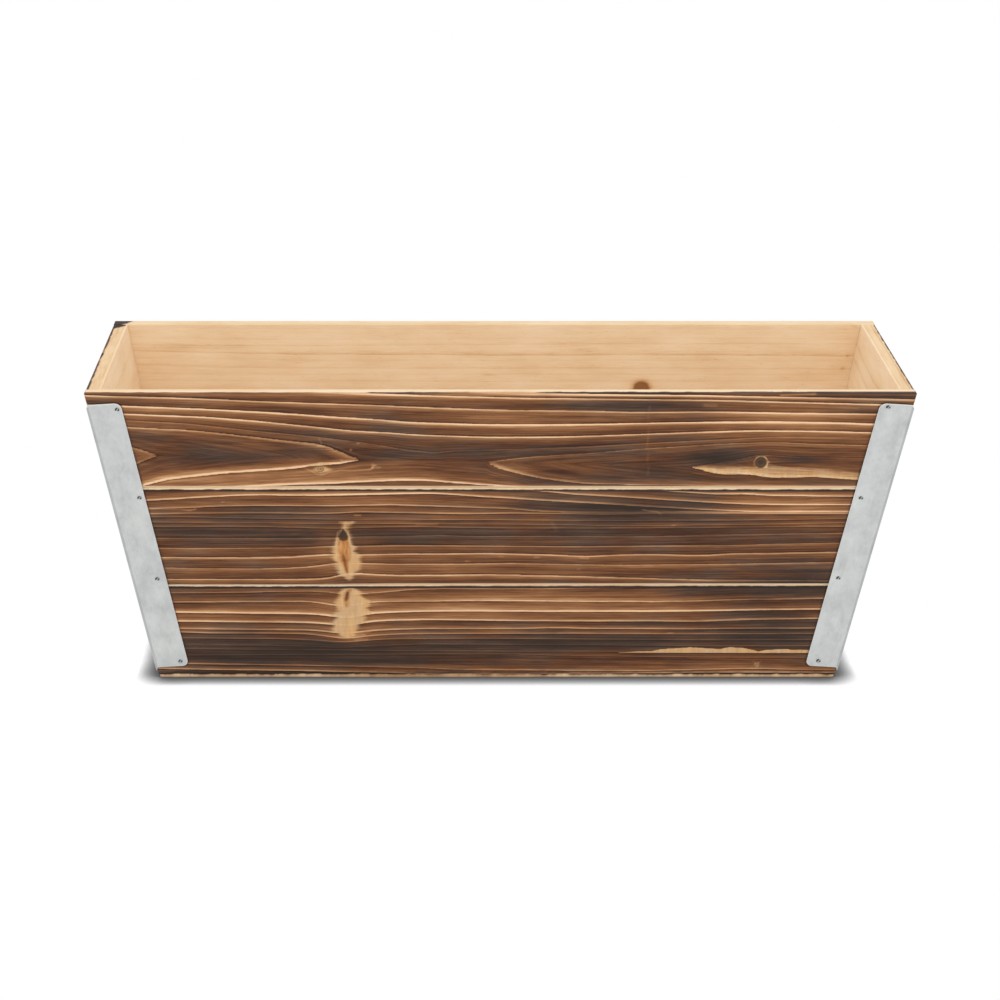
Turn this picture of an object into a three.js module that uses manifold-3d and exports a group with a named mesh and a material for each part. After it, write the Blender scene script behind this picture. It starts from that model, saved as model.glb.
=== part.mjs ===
// Window box planter: a tapered trough of torched softwood. Each wall is three planks high,
// and a galvanised strap folds round every corner and is nailed to both walls.
// Millimetres, +Z up. The front faces -Y, and the origin is the middle of the base.
import * as THREE from 'three';
import { RoundedBoxGeometry } from 'three/addons/geometries/RoundedBoxGeometry.js';
import { mergeVertices } from 'three/addons/utils/BufferGeometryUtils.js';
import Module from 'manifold-3d';

// Trough, measured outside over the rim
const rimLength = 610;
const rimDepth = 203;
const endLean = THREE.MathUtils.degToRad(10.8);
const faceLean = THREE.MathUtils.degToRad(6.3);

// Wall planks
const topRowHeight = 75;
const middleRowHeight = 81.1;
const bottomRowHeight = 79.9;
const wallThickness = 11;
const arrisRadius = 0.8;
const jointGap = 0.3;

// Floor boards, lengthwise, with a slit between them that lets water out
const floorThickness = 11;
const floorRaise = 6;
const drainSlit = 6;

// Corner straps
const strapLeaf = 26;
const strapSheet = 0.8;
const strapGap = 0.3;
const foldRadius = 1.8;
const strapTopInset = 8.8;
const strapBottomInset = 9;
const endLeafDrop = 3.5;
const strapEndTilt = THREE.MathUtils.degToRad(3.6);
const leafCornerRadius = 4.8;

// Nails that hold the straps
const strapNailsPerLeaf = 4;
const strapNailShank = 0.8;
const strapNailHead = 1.6;
const strapNailHeadHeight = 0.7;
const strapNailSideInset = 6.2;
const strapNailEndInset = 4.7;
const strapNailTipCover = 2;

// Nails driven through the end walls into the floor boards
const floorNailLength = 25;
const floorNailShank = 0.9;
const floorNailHead = 2;
const floorNailHeadHeight = 0.8;
const floorNailMargin = 11;
const nailClearance = 0.3;
const nailSides = 8;

const boxHeight = bottomRowHeight + middleRowHeight + topRowHeight;
const endSlope = Math.tan(endLean);
const faceSlope = Math.tan(faceLean);
const endWallRun = wallThickness / Math.cos(endLean);
const faceWallRun = wallThickness / Math.cos(faceLean);
const foldOuterRadius = foldRadius + strapSheet;
const leafRun = strapLeaf - foldOuterRadius;

const rows = [
  { name: 'bottom', low: 0, high: bottomRowHeight },
  { name: 'middle', low: bottomRowHeight, high: bottomRowHeight + middleRowHeight },
  { name: 'top', low: bottomRowHeight + middleRowHeight, high: boxHeight },
];
const faces = [{ name: 'front', face: -1 }, { name: 'back', face: 1 }];
const ends = [{ name: 'left', side: -1 }, { name: 'right', side: 1 }];

const torchedWood = new THREE.MeshStandardMaterial({ color: 0x7b583e, roughness: 0.75, metalness: 0 });
const barePine = new THREE.MeshStandardMaterial({ color: 0xe3bd91, roughness: 0.7, metalness: 0 });
const galvanisedSheet = new THREE.MeshStandardMaterial({ color: 0xc5c8c6, roughness: 0.5, metalness: 0.6 });
const wireSteel = new THREE.MeshStandardMaterial({ color: 0x8c9191, roughness: 0.4, metalness: 0.8 });

// Half the trough's length and depth at a height, outside and inside the walls
const outsideX = (z) => rimLength / 2 - (boxHeight - z) * endSlope;
const outsideY = (z) => rimDepth / 2 - (boxHeight - z) * faceSlope;
const insideX = (z) => outsideX(z) - endWallRun;
const insideY = (z) => outsideY(z) - faceWallRun;

const wasm = await Module();
wasm.setup();

function solidOf(geometry) {
  const bare = geometry.clone();
  bare.deleteAttribute('normal');
  bare.deleteAttribute('uv');
  const merged = mergeVertices(bare);
  return new wasm.Manifold(new wasm.Mesh({
    numProp: 3,
    vertProperties: new Float32Array(merged.attributes.position.array),
    triVerts: new Uint32Array(merged.index.array),
  }));
}

function geometryOf(solid) {
  const mesh = solid.getMesh();
  const geometry = new THREE.BufferGeometry();
  geometry.setAttribute('position', new THREE.BufferAttribute(mesh.vertProperties, 3));
  geometry.setIndex(new THREE.BufferAttribute(mesh.triVerts, 1));
  geometry.computeVertexNormals();
  return geometry;
}

const planter = new THREE.Group();

function addPiece(name, geometry, position, material) {
  const piece = new THREE.Mesh(geometry, material);
  piece.name = name;
  piece.position.copy(position);
  planter.add(piece);
  return piece;
}

// Cuts tools, which stand where they are on the planter, out of a geometry kept round its own centre
function cutAway(geometry, centre, tools) {
  let solid = solidOf(geometry).translate(centre.toArray());
  for (const tool of tools) {
    solid = solid.subtract(tool);
  }
  return geometryOf(solid.translate(centre.clone().negate().toArray()));
}

// A board with eased arrises and leaning edges: a slope is how far that face moves
// along its axis for each millimetre of height.
function leaningBoard(size, slopes) {
  const board = new RoundedBoxGeometry(size.x, size.y, size.z, 1, arrisRadius);
  const points = board.attributes.position;
  for (let i = 0; i < points.count; i += 1) {
    const x = points.getX(i);
    const y = points.getY(i);
    const z = points.getZ(i);
    points.setX(i, x + z * (x < 0 ? slopes.left : slopes.right));
    points.setY(i, y + z * (y < 0 ? slopes.front : slopes.back));
  }
  return board;
}

// Where a strap folds: the two wall planes, the line they meet on and the middle of the fold
function cornerOf(side, face) {
  const faceNormal = new THREE.Vector3(0, face * Math.cos(faceLean), -Math.sin(faceLean));
  const endNormal = new THREE.Vector3(side * Math.cos(endLean), 0, -Math.sin(endLean));
  const up = new THREE.Vector3(side * endSlope, face * faceSlope, 1).normalize();
  const alongFace = up.clone().cross(faceNormal).multiplyScalar(side * face);
  const alongEnd = up.clone().cross(endNormal).multiplyScalar(-side * face);
  const inset = (strapGap - foldRadius) / (1 + faceNormal.dot(endNormal));
  const foldCentre = new THREE.Vector3(side * outsideX(0), face * outsideY(0), 0);
  foldCentre.addScaledVector(faceNormal, inset).addScaledVector(endNormal, inset);
  const faceTurn = alongFace.angleTo(new THREE.Vector3(-side, 0, 0));
  const endTurn = alongEnd.angleTo(new THREE.Vector3(0, -face, 0));
  return {
    side, face, up, foldCentre,
    turn: faceNormal.angleTo(endNormal),
    low: strapBottomInset / up.z,
    high: (boxHeight - strapTopInset) / up.z,
    leaves: {
      face: { normal: faceNormal, along: alongFace, rise: Math.tan(strapEndTilt - faceTurn), drop: 0 },
      end: { normal: endNormal, along: alongEnd, rise: Math.tan(strapEndTilt - endTurn), drop: endLeafDrop },
    },
  };
}

// The corner of the timber is planed off where the strap folds round it
function cornerPlaning(corner) {
  const middle = corner.leaves.face.normal.clone().add(corner.leaves.end.normal).normalize();
  const thickness = 4 * foldRadius;
  const reach = (foldRadius - strapGap) * Math.cos(corner.turn / 2) + thickness / 2;
  const cutter = new THREE.BoxGeometry(thickness, 2 * thickness, 3 * boxHeight);
  const across = corner.up.clone().cross(middle);
  cutter.applyMatrix4(new THREE.Matrix4().makeBasis(middle, across, corner.up));
  const centre = corner.foldCentre.clone().addScaledVector(middle, reach);
  cutter.translate(centre.x, centre.y, centre.z);
  return solidOf(cutter);
}

// The strap's cross lines, from the free edge of the end leaf, round the fold, to that of the face leaf
function strapColumns(corner) {
  const roundingSteps = 5;
  const foldSteps = 8;
  const leafColumns = (leaf) => {
    const columns = [{ run: 0, trim: 0 }];
    for (let step = 0; step <= roundingSteps; step += 1) {
      const angle = (step / roundingSteps) * (Math.PI / 2);
      columns.push({
        run: leafRun - leafCornerRadius * (1 - Math.sin(angle)),
        trim: leafCornerRadius * (1 - Math.cos(angle)),
      });
    }
    return columns.map(({ run, trim }) => ({
      normal: leaf.normal,
      offset: leaf.along.clone().multiplyScalar(run),
      shift: run * leaf.rise - leaf.drop,
      trim,
    }));
  };
  const { face, end } = corner.leaves;
  const fold = [];
  for (let step = 1; step < foldSteps; step += 1) {
    const share = step / foldSteps;
    const normal = end.normal.clone().multiplyScalar(Math.sin((1 - share) * corner.turn));
    normal.addScaledVector(face.normal, Math.sin(share * corner.turn)).normalize();
    fold.push({ normal, offset: new THREE.Vector3(), shift: -end.drop * (1 - share), trim: 0 });
  }
  return [...leafColumns(end).reverse(), ...fold, ...leafColumns(face)];
}

// A flat blank, folded: its width runs along the columns, its height up the corner
function strapBlank(corner) {
  const columns = strapColumns(corner);
  if (corner.side * corner.face < 0) {
    columns.reverse();
  }
  const last = columns.length - 1;
  const blank = new THREE.BoxGeometry(1, 1, 1, last, 1, 1);
  const points = blank.attributes.position;
  for (let i = 0; i < points.count; i += 1) {
    const column = columns[Math.round((points.getX(i) + 0.5) * last)];
    const height = points.getY(i) < 0
      ? corner.low + column.shift + column.trim
      : corner.high + column.shift - column.trim;
    const radius = points.getZ(i) < 0 ? foldRadius : foldOuterRadius;
    const point = corner.foldCentre.clone().add(column.offset);
    point.addScaledVector(column.normal, radius).addScaledVector(corner.up, height);
    points.setXYZ(i, point.x, point.y, point.z);
  }
  return blank;
}

// A round nail along Y: the underside of its domed head is at 0 and its point at -length
function nailGeometry({ shank, head, headHeight, length }) {
  const profile = [
    [0, -length],
    [shank, -length + 2 * shank],
    [shank, 0],
    [head, 0],
    [head, headHeight * 0.4],
    [head * 0.6, headHeight * 0.9],
    [0, headHeight],
  ];
  return new THREE.LatheGeometry(profile.map(([x, y]) => new THREE.Vector2(x, y)), nailSides);
}

// The hole that a nail needs, from above its seat to just past its point
function nailBore(nail) {
  const radius = nail.shank + nailClearance;
  const length = nail.head + nail.length + nailClearance;
  const bore = new THREE.CylinderGeometry(radius, radius, length, nailSides);
  bore.translate(0, nail.head - length / 2, 0);
  bore.applyQuaternion(nail.turn);
  bore.translate(nail.seat.x, nail.seat.y, nail.seat.z);
  return solidOf(bore);
}

function turnTo(normal) {
  return new THREE.Quaternion().setFromUnitVectors(new THREE.Vector3(0, 1, 0), normal);
}

function strapNails(corner, cornerName) {
  const nails = [];
  const run = leafRun - strapNailSideInset;
  for (const [leafName, leaf] of Object.entries(corner.leaves)) {
    const shift = run * leaf.rise - leaf.drop;
    const low = corner.low + shift + strapNailEndInset;
    const high = corner.high + shift - strapNailEndInset;
    for (let i = 0; i < strapNailsPerLeaf; i += 1) {
      const height = low + (high - low) * (i / (strapNailsPerLeaf - 1));
      const seat = corner.foldCentre.clone().addScaledVector(leaf.along, run);
      seat.addScaledVector(leaf.normal, foldOuterRadius + nailClearance).addScaledVector(corner.up, height);
      nails.push({
        name: `${cornerName}_strap_${leafName}_nail_${i + 1}`,
        seat,
        turn: turnTo(leaf.normal),
        shank: strapNailShank,
        head: strapNailHead,
        headHeight: strapNailHeadHeight,
        length: nailClearance + strapSheet + strapGap + wallThickness - strapNailTipCover,
      });
    }
  }
  return nails;
}

function floorNails(side, endName) {
  const normal = new THREE.Vector3(side * Math.cos(endLean), 0, -Math.sin(endLean));
  const intoFloor = floorNailLength - wallThickness;
  const height = floorRaise + floorThickness / 2 - (wallThickness + intoFloor / 2) * Math.sin(endLean);
  const outer = outsideY(height) - strapLeaf - floorNailMargin;
  const inner = drainSlit / 2 + floorNailMargin;
  return [-outer, -inner, inner, outer].map((y, i) => ({
    name: `${endName}_floor_nail_${i + 1}`,
    seat: new THREE.Vector3(side * outsideX(height), y, height).addScaledVector(normal, nailClearance),
    turn: turnTo(normal),
    shank: floorNailShank,
    head: floorNailHead,
    headHeight: floorNailHeadHeight,
    length: floorNailLength,
  }));
}

const corners = [];
for (const { name: faceName, face } of faces) {
  for (const { name: sideName, side } of ends) {
    const corner = cornerOf(side, face);
    corner.name = `${faceName}_${sideName}`;
    corner.nails = strapNails(corner, corner.name);
    corner.bores = corner.nails.map(nailBore);
    corners.push(corner);
  }
}
for (const end of ends) {
  end.nails = floorNails(end.side, end.name);
  end.bores = end.nails.map(nailBore);
}
const allBores = [...corners.flatMap((corner) => corner.bores), ...ends.flatMap((end) => end.bores)];

for (const { name, low, high } of rows) {
  const height = high - low - (low > 0 ? jointGap : 0);
  const z = high - height / 2;
  for (const { name: faceName, face } of faces) {
    const size = new THREE.Vector3(2 * outsideX(z), faceWallRun, height);
    const centre = new THREE.Vector3(0, face * (outsideY(z) - faceWallRun / 2), z);
    const slopes = { left: -endSlope, right: endSlope, front: face * faceSlope, back: face * faceSlope };
    const planing = corners.filter((corner) => corner.face === face).map(cornerPlaning);
    const plank = cutAway(leaningBoard(size, slopes), centre, [...planing, ...allBores]);
    addPiece(`${faceName}_${name}_plank`, plank, centre, torchedWood);
  }
  for (const { name: endName, side } of ends) {
    const size = new THREE.Vector3(endWallRun, 2 * (insideY(z) - jointGap), height);
    const centre = new THREE.Vector3(side * (outsideX(z) - endWallRun / 2), 0, z);
    const slopes = { left: side * endSlope, right: side * endSlope, front: -faceSlope, back: faceSlope };
    const plank = cutAway(leaningBoard(size, slopes), centre, allBores);
    addPiece(`${endName}_${name}_plank`, plank, centre, torchedWood);
  }
}

for (const { name, face } of faces) {
  const z = floorRaise + floorThickness / 2;
  const width = insideY(z) - jointGap - drainSlit / 2;
  const size = new THREE.Vector3(2 * (insideX(z) - jointGap), width, floorThickness);
  const centre = new THREE.Vector3(0, face * (drainSlit / 2 + width / 2), z);
  const slopes = {
    left: -endSlope,
    right: endSlope,
    front: face < 0 ? -faceSlope : 0,
    back: face > 0 ? faceSlope : 0,
  };
  addPiece(`${name}_floor_board`, cutAway(leaningBoard(size, slopes), centre, allBores), centre, barePine);
}

for (const corner of corners) {
  const strap = cutAway(strapBlank(corner), new THREE.Vector3(), corner.bores);
  addPiece(`${corner.name}_strap`, strap, new THREE.Vector3(), galvanisedSheet);
}

for (const nail of [...corners, ...ends].flatMap((group) => group.nails)) {
  addPiece(nail.name, nailGeometry(nail), nail.seat, wireSteel).quaternion.copy(nail.turn);
}

export default planter;
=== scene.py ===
import math

import bpy
import numpy as np
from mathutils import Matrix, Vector


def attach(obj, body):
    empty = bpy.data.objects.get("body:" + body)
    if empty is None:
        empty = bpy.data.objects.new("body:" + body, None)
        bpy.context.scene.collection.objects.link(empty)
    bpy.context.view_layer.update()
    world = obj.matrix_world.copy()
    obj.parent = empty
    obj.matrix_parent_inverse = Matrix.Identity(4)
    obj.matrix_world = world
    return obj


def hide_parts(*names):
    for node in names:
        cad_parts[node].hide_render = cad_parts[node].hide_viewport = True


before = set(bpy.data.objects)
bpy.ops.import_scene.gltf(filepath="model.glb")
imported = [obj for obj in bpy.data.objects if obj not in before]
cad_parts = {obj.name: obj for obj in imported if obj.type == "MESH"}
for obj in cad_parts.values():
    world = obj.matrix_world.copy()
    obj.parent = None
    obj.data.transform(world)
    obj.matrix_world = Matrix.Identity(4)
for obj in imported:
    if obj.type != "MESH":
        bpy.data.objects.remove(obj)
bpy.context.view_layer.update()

# Millimetres throughout, as in the CAD source; meshes are turned to metres when they are made.
trough = {
    "length": 610.0,
    "depth": 203.0,
    "height": 236.0,
    "endLean": math.radians(10.8),
    "faceLean": math.radians(6.3),
    "wall": 11.0,
    "rows": {"bottom": (0.0, 79.9), "middle": (79.9, 161.0), "top": (161.0, 236.0)},
    "jointGap": 0.3,
}
endSlope = math.tan(trough["endLean"])
faceSlope = math.tan(trough["faceLean"])
endRun = trough["wall"] / math.cos(trough["endLean"])
faceRun = trough["wall"] / math.cos(trough["faceLean"])


def outsideX(z):
    return trough["length"] / 2 - (trough["height"] - z) * endSlope


def outsideY(z):
    return trough["depth"] / 2 - (trough["height"] - z) * faceSlope


def makeMesh(name, points, quads, triangles=(), sharpAngle=40.0):
    quads = np.asarray(quads, np.int32).reshape(-1, 4)
    triangles = np.asarray(triangles, np.int32).reshape(-1, 3)
    mesh = bpy.data.meshes.new(name)
    mesh.vertices.add(len(points))
    mesh.vertices.foreach_set("co", (np.asarray(points) / 1000).astype(np.float32).ravel())
    corners = np.concatenate([quads.ravel(), triangles.ravel()])
    mesh.loops.add(len(corners))
    mesh.loops.foreach_set("vertex_index", corners.astype(np.int32))
    starts = np.concatenate([np.arange(len(quads)) * 4, len(quads) * 4 + np.arange(len(triangles)) * 3])
    mesh.polygons.add(len(starts))
    mesh.polygons.foreach_set("loop_start", starts.astype(np.int32))
    mesh.update(calc_edges=True)
    mesh.shade_smooth()
    mesh.set_sharp_from_angle(angle=math.radians(sharpAngle))
    piece = bpy.data.objects.new(name, mesh)
    bpy.context.scene.collection.objects.link(piece)
    return piece


def addVector(piece, name, x, y, z):
    values = np.stack(np.broadcast_arrays(x, y, z), -1).astype(np.float32)
    layer = piece.data.attributes.new(name, "FLOAT_VECTOR", "POINT")
    layer.data.foreach_set("vector", values.ravel())


def dress(piece, material, slotName, *nodes):
    piece.data.materials.clear()
    piece.data.materials.append(material)
    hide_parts(*nodes)
    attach(piece, "root")


def ease(t):
    t = np.clip(t, 0, 1)
    return t * t * (3 - 2 * t)


def cloudNoise(x, y, seed, cells=64):
    # smooth noise from 0 to 1, repeating every so many cells
    table = np.random.default_rng(seed).random((cells, cells))
    ix, iy = np.floor(x).astype(int), np.floor(y).astype(int)
    fx, fy = ease(x - ix), ease(y - iy)
    left, right = ix % cells, (ix + 1) % cells
    near, far = iy % cells, (iy + 1) % cells
    low = table[left, near] * (1 - fx) + table[right, near] * fx
    high = table[left, far] * (1 - fx) + table[right, far] * fx
    return low * (1 - fy) + high * fy


def swell(x, y, seed, size):
    # the same noise, that wide and centred on 0
    return size * (cloudNoise(x, y, seed) - 0.5)


def blurRows(grid, reach, step):
    # gaussian blur along the last axis
    half = int(3 * reach / step)
    kernel = np.exp(-0.5 * (np.arange(-half, half + 1) * step / reach) ** 2)
    kernel /= kernel.sum()
    padded = np.pad(grid, ((0, 0), (half, half)), mode="edge")
    return sum(w * padded[:, i:i + grid.shape[1]] for i, w in enumerate(kernel))


# One line of the figure: ring number, how pale it is, and its places (along the plank, drop below the rim).
# A spine is where the ring numbers turn back, so its places also give the number there.
frontFigure = {
    "top": [
        (9, 0.5, [(-310, -15), (310, -9)]),
        (8, 0.5, [(-310, -10), (310, -3)]),
        (7, 0.8, [(-310, -6), (-60, -1.5), (4, 0.3), (95, 1.5), (148, 1.9), (209, 3.2), (278, 4.6),
                  (310, 5.5)]),
        (6, 0.78, [(-310, -3.5), (-150, -0.6), (-95, 0.9), (-35, 2.5), (26, 3.9), (95, 4.6), (161, 5.5),
                   (209, 6.9), (278, 8.8), (310, 10)]),
        (5, 0.62, [(-310, 2), (-278, 2.9), (-230, 4.2), (-175, 6.9), (-120, 8.8), (-88, 10.1),
                   (-47, 11.7), (2, 13.4), (63, 14.1), (95, 15.1), (161, 14.7), (210, 15.7), (279, 16.5),
                   (310, 17)]),
        (4, 0.8, [(-310, 9), (-277, 10.4), (-218, 12.8), (-170, 15.4), (-121, 19.1), (-88, 21.3),
                  (-66, 23.3), (-10, 24.9), (51, 24.7), (96, 24), (137, 23.1), (198, 22.4), (247, 23.3),
                  (276, 24.4), (310, 25)]),
        (3, 0.72, [(-310, 15), (-276, 16.7), (-218, 19.1), (-182, 22), (-146, 26), (-109, 30.2),
                   (-88, 31.3), (-59, 33.3), (-10, 34.9), (51, 34.6), (96, 33), (137, 31.3), (186, 29.6),
                   (235, 30.2), (274, 31.3), (310, 32)]),
        (2, 0.18, [(-310, 20), (-231, 24.5), (-178, 30.7), (-133, 35.3), (-104, 39.3), (-88, 41.9),
                   (-71, 45.1), (-47, 47.7), (-35, 45.9), (14, 44.7), (51, 43.3), (96, 40.7), (200, 35),
                   (310, 36)]),
        (1, 0.5, [(-310, 25), (-274, 27.3), (-231, 29.3), (-195, 33.3), (-158, 38), (-133, 40.6),
                  (-121, 44.7), (-111, 50), (-105, 52.6)]),
        (0, 0.3, [(-310, 37), (-280, 41), (-265, 45), (-254, 49.6)]),
        (1, 0.32, [(-8, 54.7), (3, 52.7), (27, 50.2), (64, 48), (96, 45.1), (126, 43), (163, 40.3),
                   (202, 39), (236, 40.6), (273, 41.5), (310, 42)]),
        (0, 0.12, [(143, 58.4), (170, 54), (193, 48.6), (220, 51), (310, 52)]),
        ("spine", 0.2, [(-310, 50, -0.6), (-254, 49.7, 0), (-200, 50, 0.35), (-105, 53, 1),
                        (-60, 54.4, 1.2), (-8, 54.7, 1), (60, 56, 0.45), (143, 58.5, 0), (200, 56, -0.3),
                        (310, 57, -0.6)]),
        (0, 0.9, [(143, 58.6), (153, 62.7), (166, 65.1), (183, 64.2), (198, 67.3), (213, 67.5),
                  (235, 66.8), (266, 69.2), (310, 72)]),
        (0, 0.3, [(-310, 68), (-280, 62), (-268, 56), (-254, 49.8)]),
        (1, 0.95, [(-310, 84), (-265, 74.2), (-245, 68.8), (-207, 64.1), (-171, 61.6), (-152, 60),
                   (-139, 57.8), (-115, 56.1), (-105, 53.2)]),
        (1, 0.5, [(-8, 54.9), (-4, 59.4), (9, 62.8), (21, 66.1), (39, 69.5), (64, 72.6), (97, 73.3),
                  (143, 73.8), (310, 76.5)]),
        (2, 0.85, [(-310, 88), (-220, 78), (-176, 74.2), (-147, 72.9), (-121, 72.2), (-89, 70.2),
                   (-59, 69.5), (-34, 71.5), (-10, 73.5), (30, 76.5), (310, 84)]),
        (3, 0.5, [(-310, 98), (310, 96)]),
    ],
    "middle": [
        (-1, 0.5, [(-310, 60), (310, 66)]),
        (0, 0.62, [(-310, 68), (0, 73.4), (100, 77), (137, 79.3), (149, 80.2), (162, 81.1), (186, 80.9),
                   (199, 82.2), (218, 82.5), (264, 83), (310, 83.5)]),
        (1, 0.62, [(-310, 73), (-60, 74.9), (0, 76.5), (30, 78.4), (42, 79.5), (54, 81.1), (73, 82.2),
                   (92, 83.3), (112, 84.7), (124, 85.7), (137, 86.3), (162, 88), (187, 89.3), (211, 89.8),
                   (310, 89.8)]),
        (2, 0.68, [(-310, 88), (-263, 86.3), (-237, 84.7), (-218, 83.3), (-198, 82.2), (-181, 81.6),
                   (-132, 82.2), (-107, 81.6), (-66, 80.6), (-51, 80.3), (-32, 81.4), (-14, 83),
                   (5, 84.1), (30, 85.9), (54, 87.4), (80, 89), (112, 91.2), (143, 93.1), (181, 95.2),
                   (200, 95.8), (310, 95.8)]),
        (3, 0.5, [(-310, 95), (-261, 93.1), (-231, 92), (-206, 90.8), (-181, 90.4), (-132, 90.8),
                  (-95, 90.1), (-81, 89.8), (-57, 90.7), (-32, 91.5), (-7, 92.4), (13, 93.4), (24, 94.8),
                  (36, 95.7), (55, 96.2), (310, 96.3)]),
        (4, 0.48, [(-310, 98), (-261, 97.5), (-231, 96.9), (-182, 96.5), (-132, 96.9), (-120, 96.7),
                   (-107, 95.6), (-75, 96.1), (-44, 96.9), (-19, 97.3), (5, 96.6), (49, 96.9), (80, 97.3),
                   (113, 97), (181, 96.8), (224, 97), (310, 96.8)]),
        (5, 0.26, [(-310, 100), (-231, 100), (-182, 101.3), (-132, 101.9), (-108, 102.4), (-81, 102.1),
                   (-44, 102.5), (43, 103.2), (80, 103.5), (187, 103), (261, 101.6), (310, 101)]),
        (6, 0.24, [(-310, 104), (-259, 104.8), (-182, 105.4), (-132, 106.3), (-95, 106), (5, 106.5),
                   (43, 106.9), (80, 107.7), (113, 107.7), (188, 106.9), (259, 105.4), (310, 105)]),
        (7, 0.22, [(-310, 108.4), (-182, 108.4), (-157, 109), (-122, 110.1), (-107, 109.3), (-75, 108.4),
                   (5, 109.6), (76, 109.8), (188, 108.8), (310, 108)]),
        ("spine", 0.1, [(-310, 113, 7.4), (0, 113, 7.3), (310, 111, 7.4)]),
        (7, 0.22, [(-310, 118), (-256, 117.8), (-145, 117.8), (-122, 117.6), (-107, 116.7), (-75, 116.2),
                   (-44, 115.3), (-19, 116.2), (56, 116.2), (114, 116.5), (163, 115.1), (258, 113.4),
                   (310, 112.9)]),
        (6, 0.34, [(-310, 125.4), (-220, 126.2), (-145, 125.6), (-122, 124.1), (-104, 124.5),
                   (-75, 123.7), (6, 124.2), (55, 124.7), (113, 124.1), (182, 123.7), (201, 122.8),
                   (257, 121.7), (310, 121)]),
        (5, 0.56, [(-310, 133), (-220, 134), (-183, 133.9), (-158, 133.4), (-139, 131.9), (-124, 131),
                   (-104, 131.7), (-75, 130.8), (-32, 130.6), (-7, 130.3), (12, 130.8), (43, 131.7),
                   (65, 133.1), (74, 132.5), (95, 131.4), (120, 131.1), (139, 131.9), (158, 131.9),
                   (170, 130.8), (202, 130.3), (256, 129.2), (310, 128.5)]),
        (4, 0.38, [(-310, 141.5), (-251, 142.3), (-233, 142.9), (-183, 143.1), (-158, 142.5),
                   (-141, 141.4), (-124, 138.6), (-103, 138.6), (-75, 139.4), (-32, 139.2), (12, 138.6),
                   (56, 139.7), (99, 140.3), (127, 139.7), (183, 139.2), (214, 138.4), (310, 136.8)]),
        (3, 0.52, [(-310, 152), (-145, 151.8), (-132, 151.3), (-124, 149.9), (-118, 147.6), (-112, 146.6),
                   (-107, 146.6), (-95, 147.7), (-75, 148.5), (-32, 148.2), (-7, 147.8), (31, 148.7),
                   (56, 149.3), (82, 150.1), (102, 150.7), (152, 152.3), (310, 153.5)]),
        (2, 0.4, [(-310, 162), (310, 165)]),
    ],
    "bottom": [
        (0, 0.4, [(-310, 150), (310, 143)]),
        (1, 0.36, [(-310, 163.5), (-218, 163.4), (-193, 163.2), (-168, 162.3), (-143, 162), (-128, 162.6),
                   (-121, 164.4), (-104, 164.6), (-92, 163.2), (-80, 162.3), (-63, 160.4), (-44, 160.1),
                   (31, 160.2), (94, 159.2), (114, 158.7), (138, 157.2), (170, 155), (310, 149)]),
        (2, 0.46, [(-310, 171.8), (-219, 171.2), (-143, 170.7), (-128, 173.3), (-116, 175.4),
                   (-103, 172.4), (-90, 170.7), (-44, 170.5), (-7, 170.2), (69, 170.8), (115, 171),
                   (153, 170.5), (179, 169.4), (310, 167)]),
        (3, 0.84, [(-310, 180), (-243, 180), (-194, 180.7), (-144, 181.2), (-131, 182.4), (-123, 183.8),
                   (-112, 184.8), (-100, 181.7), (-93, 180.7), (-80, 180), (-57, 179.3), (-32, 179),
                   (31, 179.3), (115, 179.4), (128, 179.3), (179, 178.4), (204, 177.8), (310, 177)]),
        (4, 0.7, [(-310, 187), (-219, 187.5), (-169, 188.1), (-144, 188.5), (-131, 189.5), (-125, 190.3),
                  (-113, 191.4), (-102, 188.5), (-93, 187.1), (-80, 186.4), (-57, 185.8), (-44, 185.8),
                  (6, 186.6), (70, 187.1), (116, 187.1), (154, 187.5), (180, 186.4), (205, 185.7),
                  (310, 184)]),
        (5, 0.6, [(-310, 193.5), (-242, 193.8), (-194, 194.4), (-144, 194.9), (-131, 196.1), (-125, 197),
                  (-113, 198.1), (-100, 195.7), (-81, 194.4), (-57, 193.5), (20, 193.5), (45, 192.7),
                  (70, 193.5), (142, 194.1), (205, 193.5), (310, 193.5)]),
        (6, 0.46, [(-310, 196), (-241, 196.6), (-220, 197.5), (-169, 197.5), (-144, 198.1), (-131, 200),
                   (-119, 202.1), (-111, 201.8), (-100, 200), (-81, 198.5), (-57, 197.8), (57, 197.5),
                   (142, 198.3), (310, 198)]),
        (7, 0.3, [(-310, 201), (-195, 202.1), (-169, 202.1), (-144, 203.3), (-131, 204.4), (-119, 205.7),
                  (-106, 204.6), (-96, 203.3), (-81, 202.4), (-19, 201.8), (45, 202.4), (167, 203.5),
                  (310, 203)]),
        (8, 0.24, [(-310, 208), (-170, 208.5), (-144, 209.2), (-119, 210.4), (-106, 209.6), (-93, 208.7),
                   (-57, 207.2), (20, 207.5), (171, 209), (310, 208.5)]),
        (9, 0.24, [(-310, 210.6), (-238, 211), (-195, 211.7), (-144, 212.2), (-119, 212.4), (-93, 212.9),
                   (-44, 213.3), (93, 213.8), (140, 214.5), (202, 215), (310, 215)]),
        (10, 0.16, [(-310, 217.5), (-228, 216.8), (7, 215.6), (32, 216.4), (58, 217.2), (130, 218.2),
                    (193, 219), (310, 220)]),
        (11, 0.5, [(-310, 223.5), (-234, 224.5), (-208, 224.9), (-157, 225.7), (-131, 226.3),
                   (-81, 227.4), (-57, 228), (-31, 229.5), (20, 230), (84, 230.7), (130, 230.2),
                   (182, 228.9), (200, 228.6), (219, 229.2), (310, 230.5)]),
        (12, 0.6, [(-310, 227.5), (-259, 228.5), (-209, 229.5), (-157, 230.2), (-106, 231.5),
                   (-81, 232.1), (-63, 232.9), (-44, 233.5), (79, 232.8), (182, 231.8), (310, 232.5)]),
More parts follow.
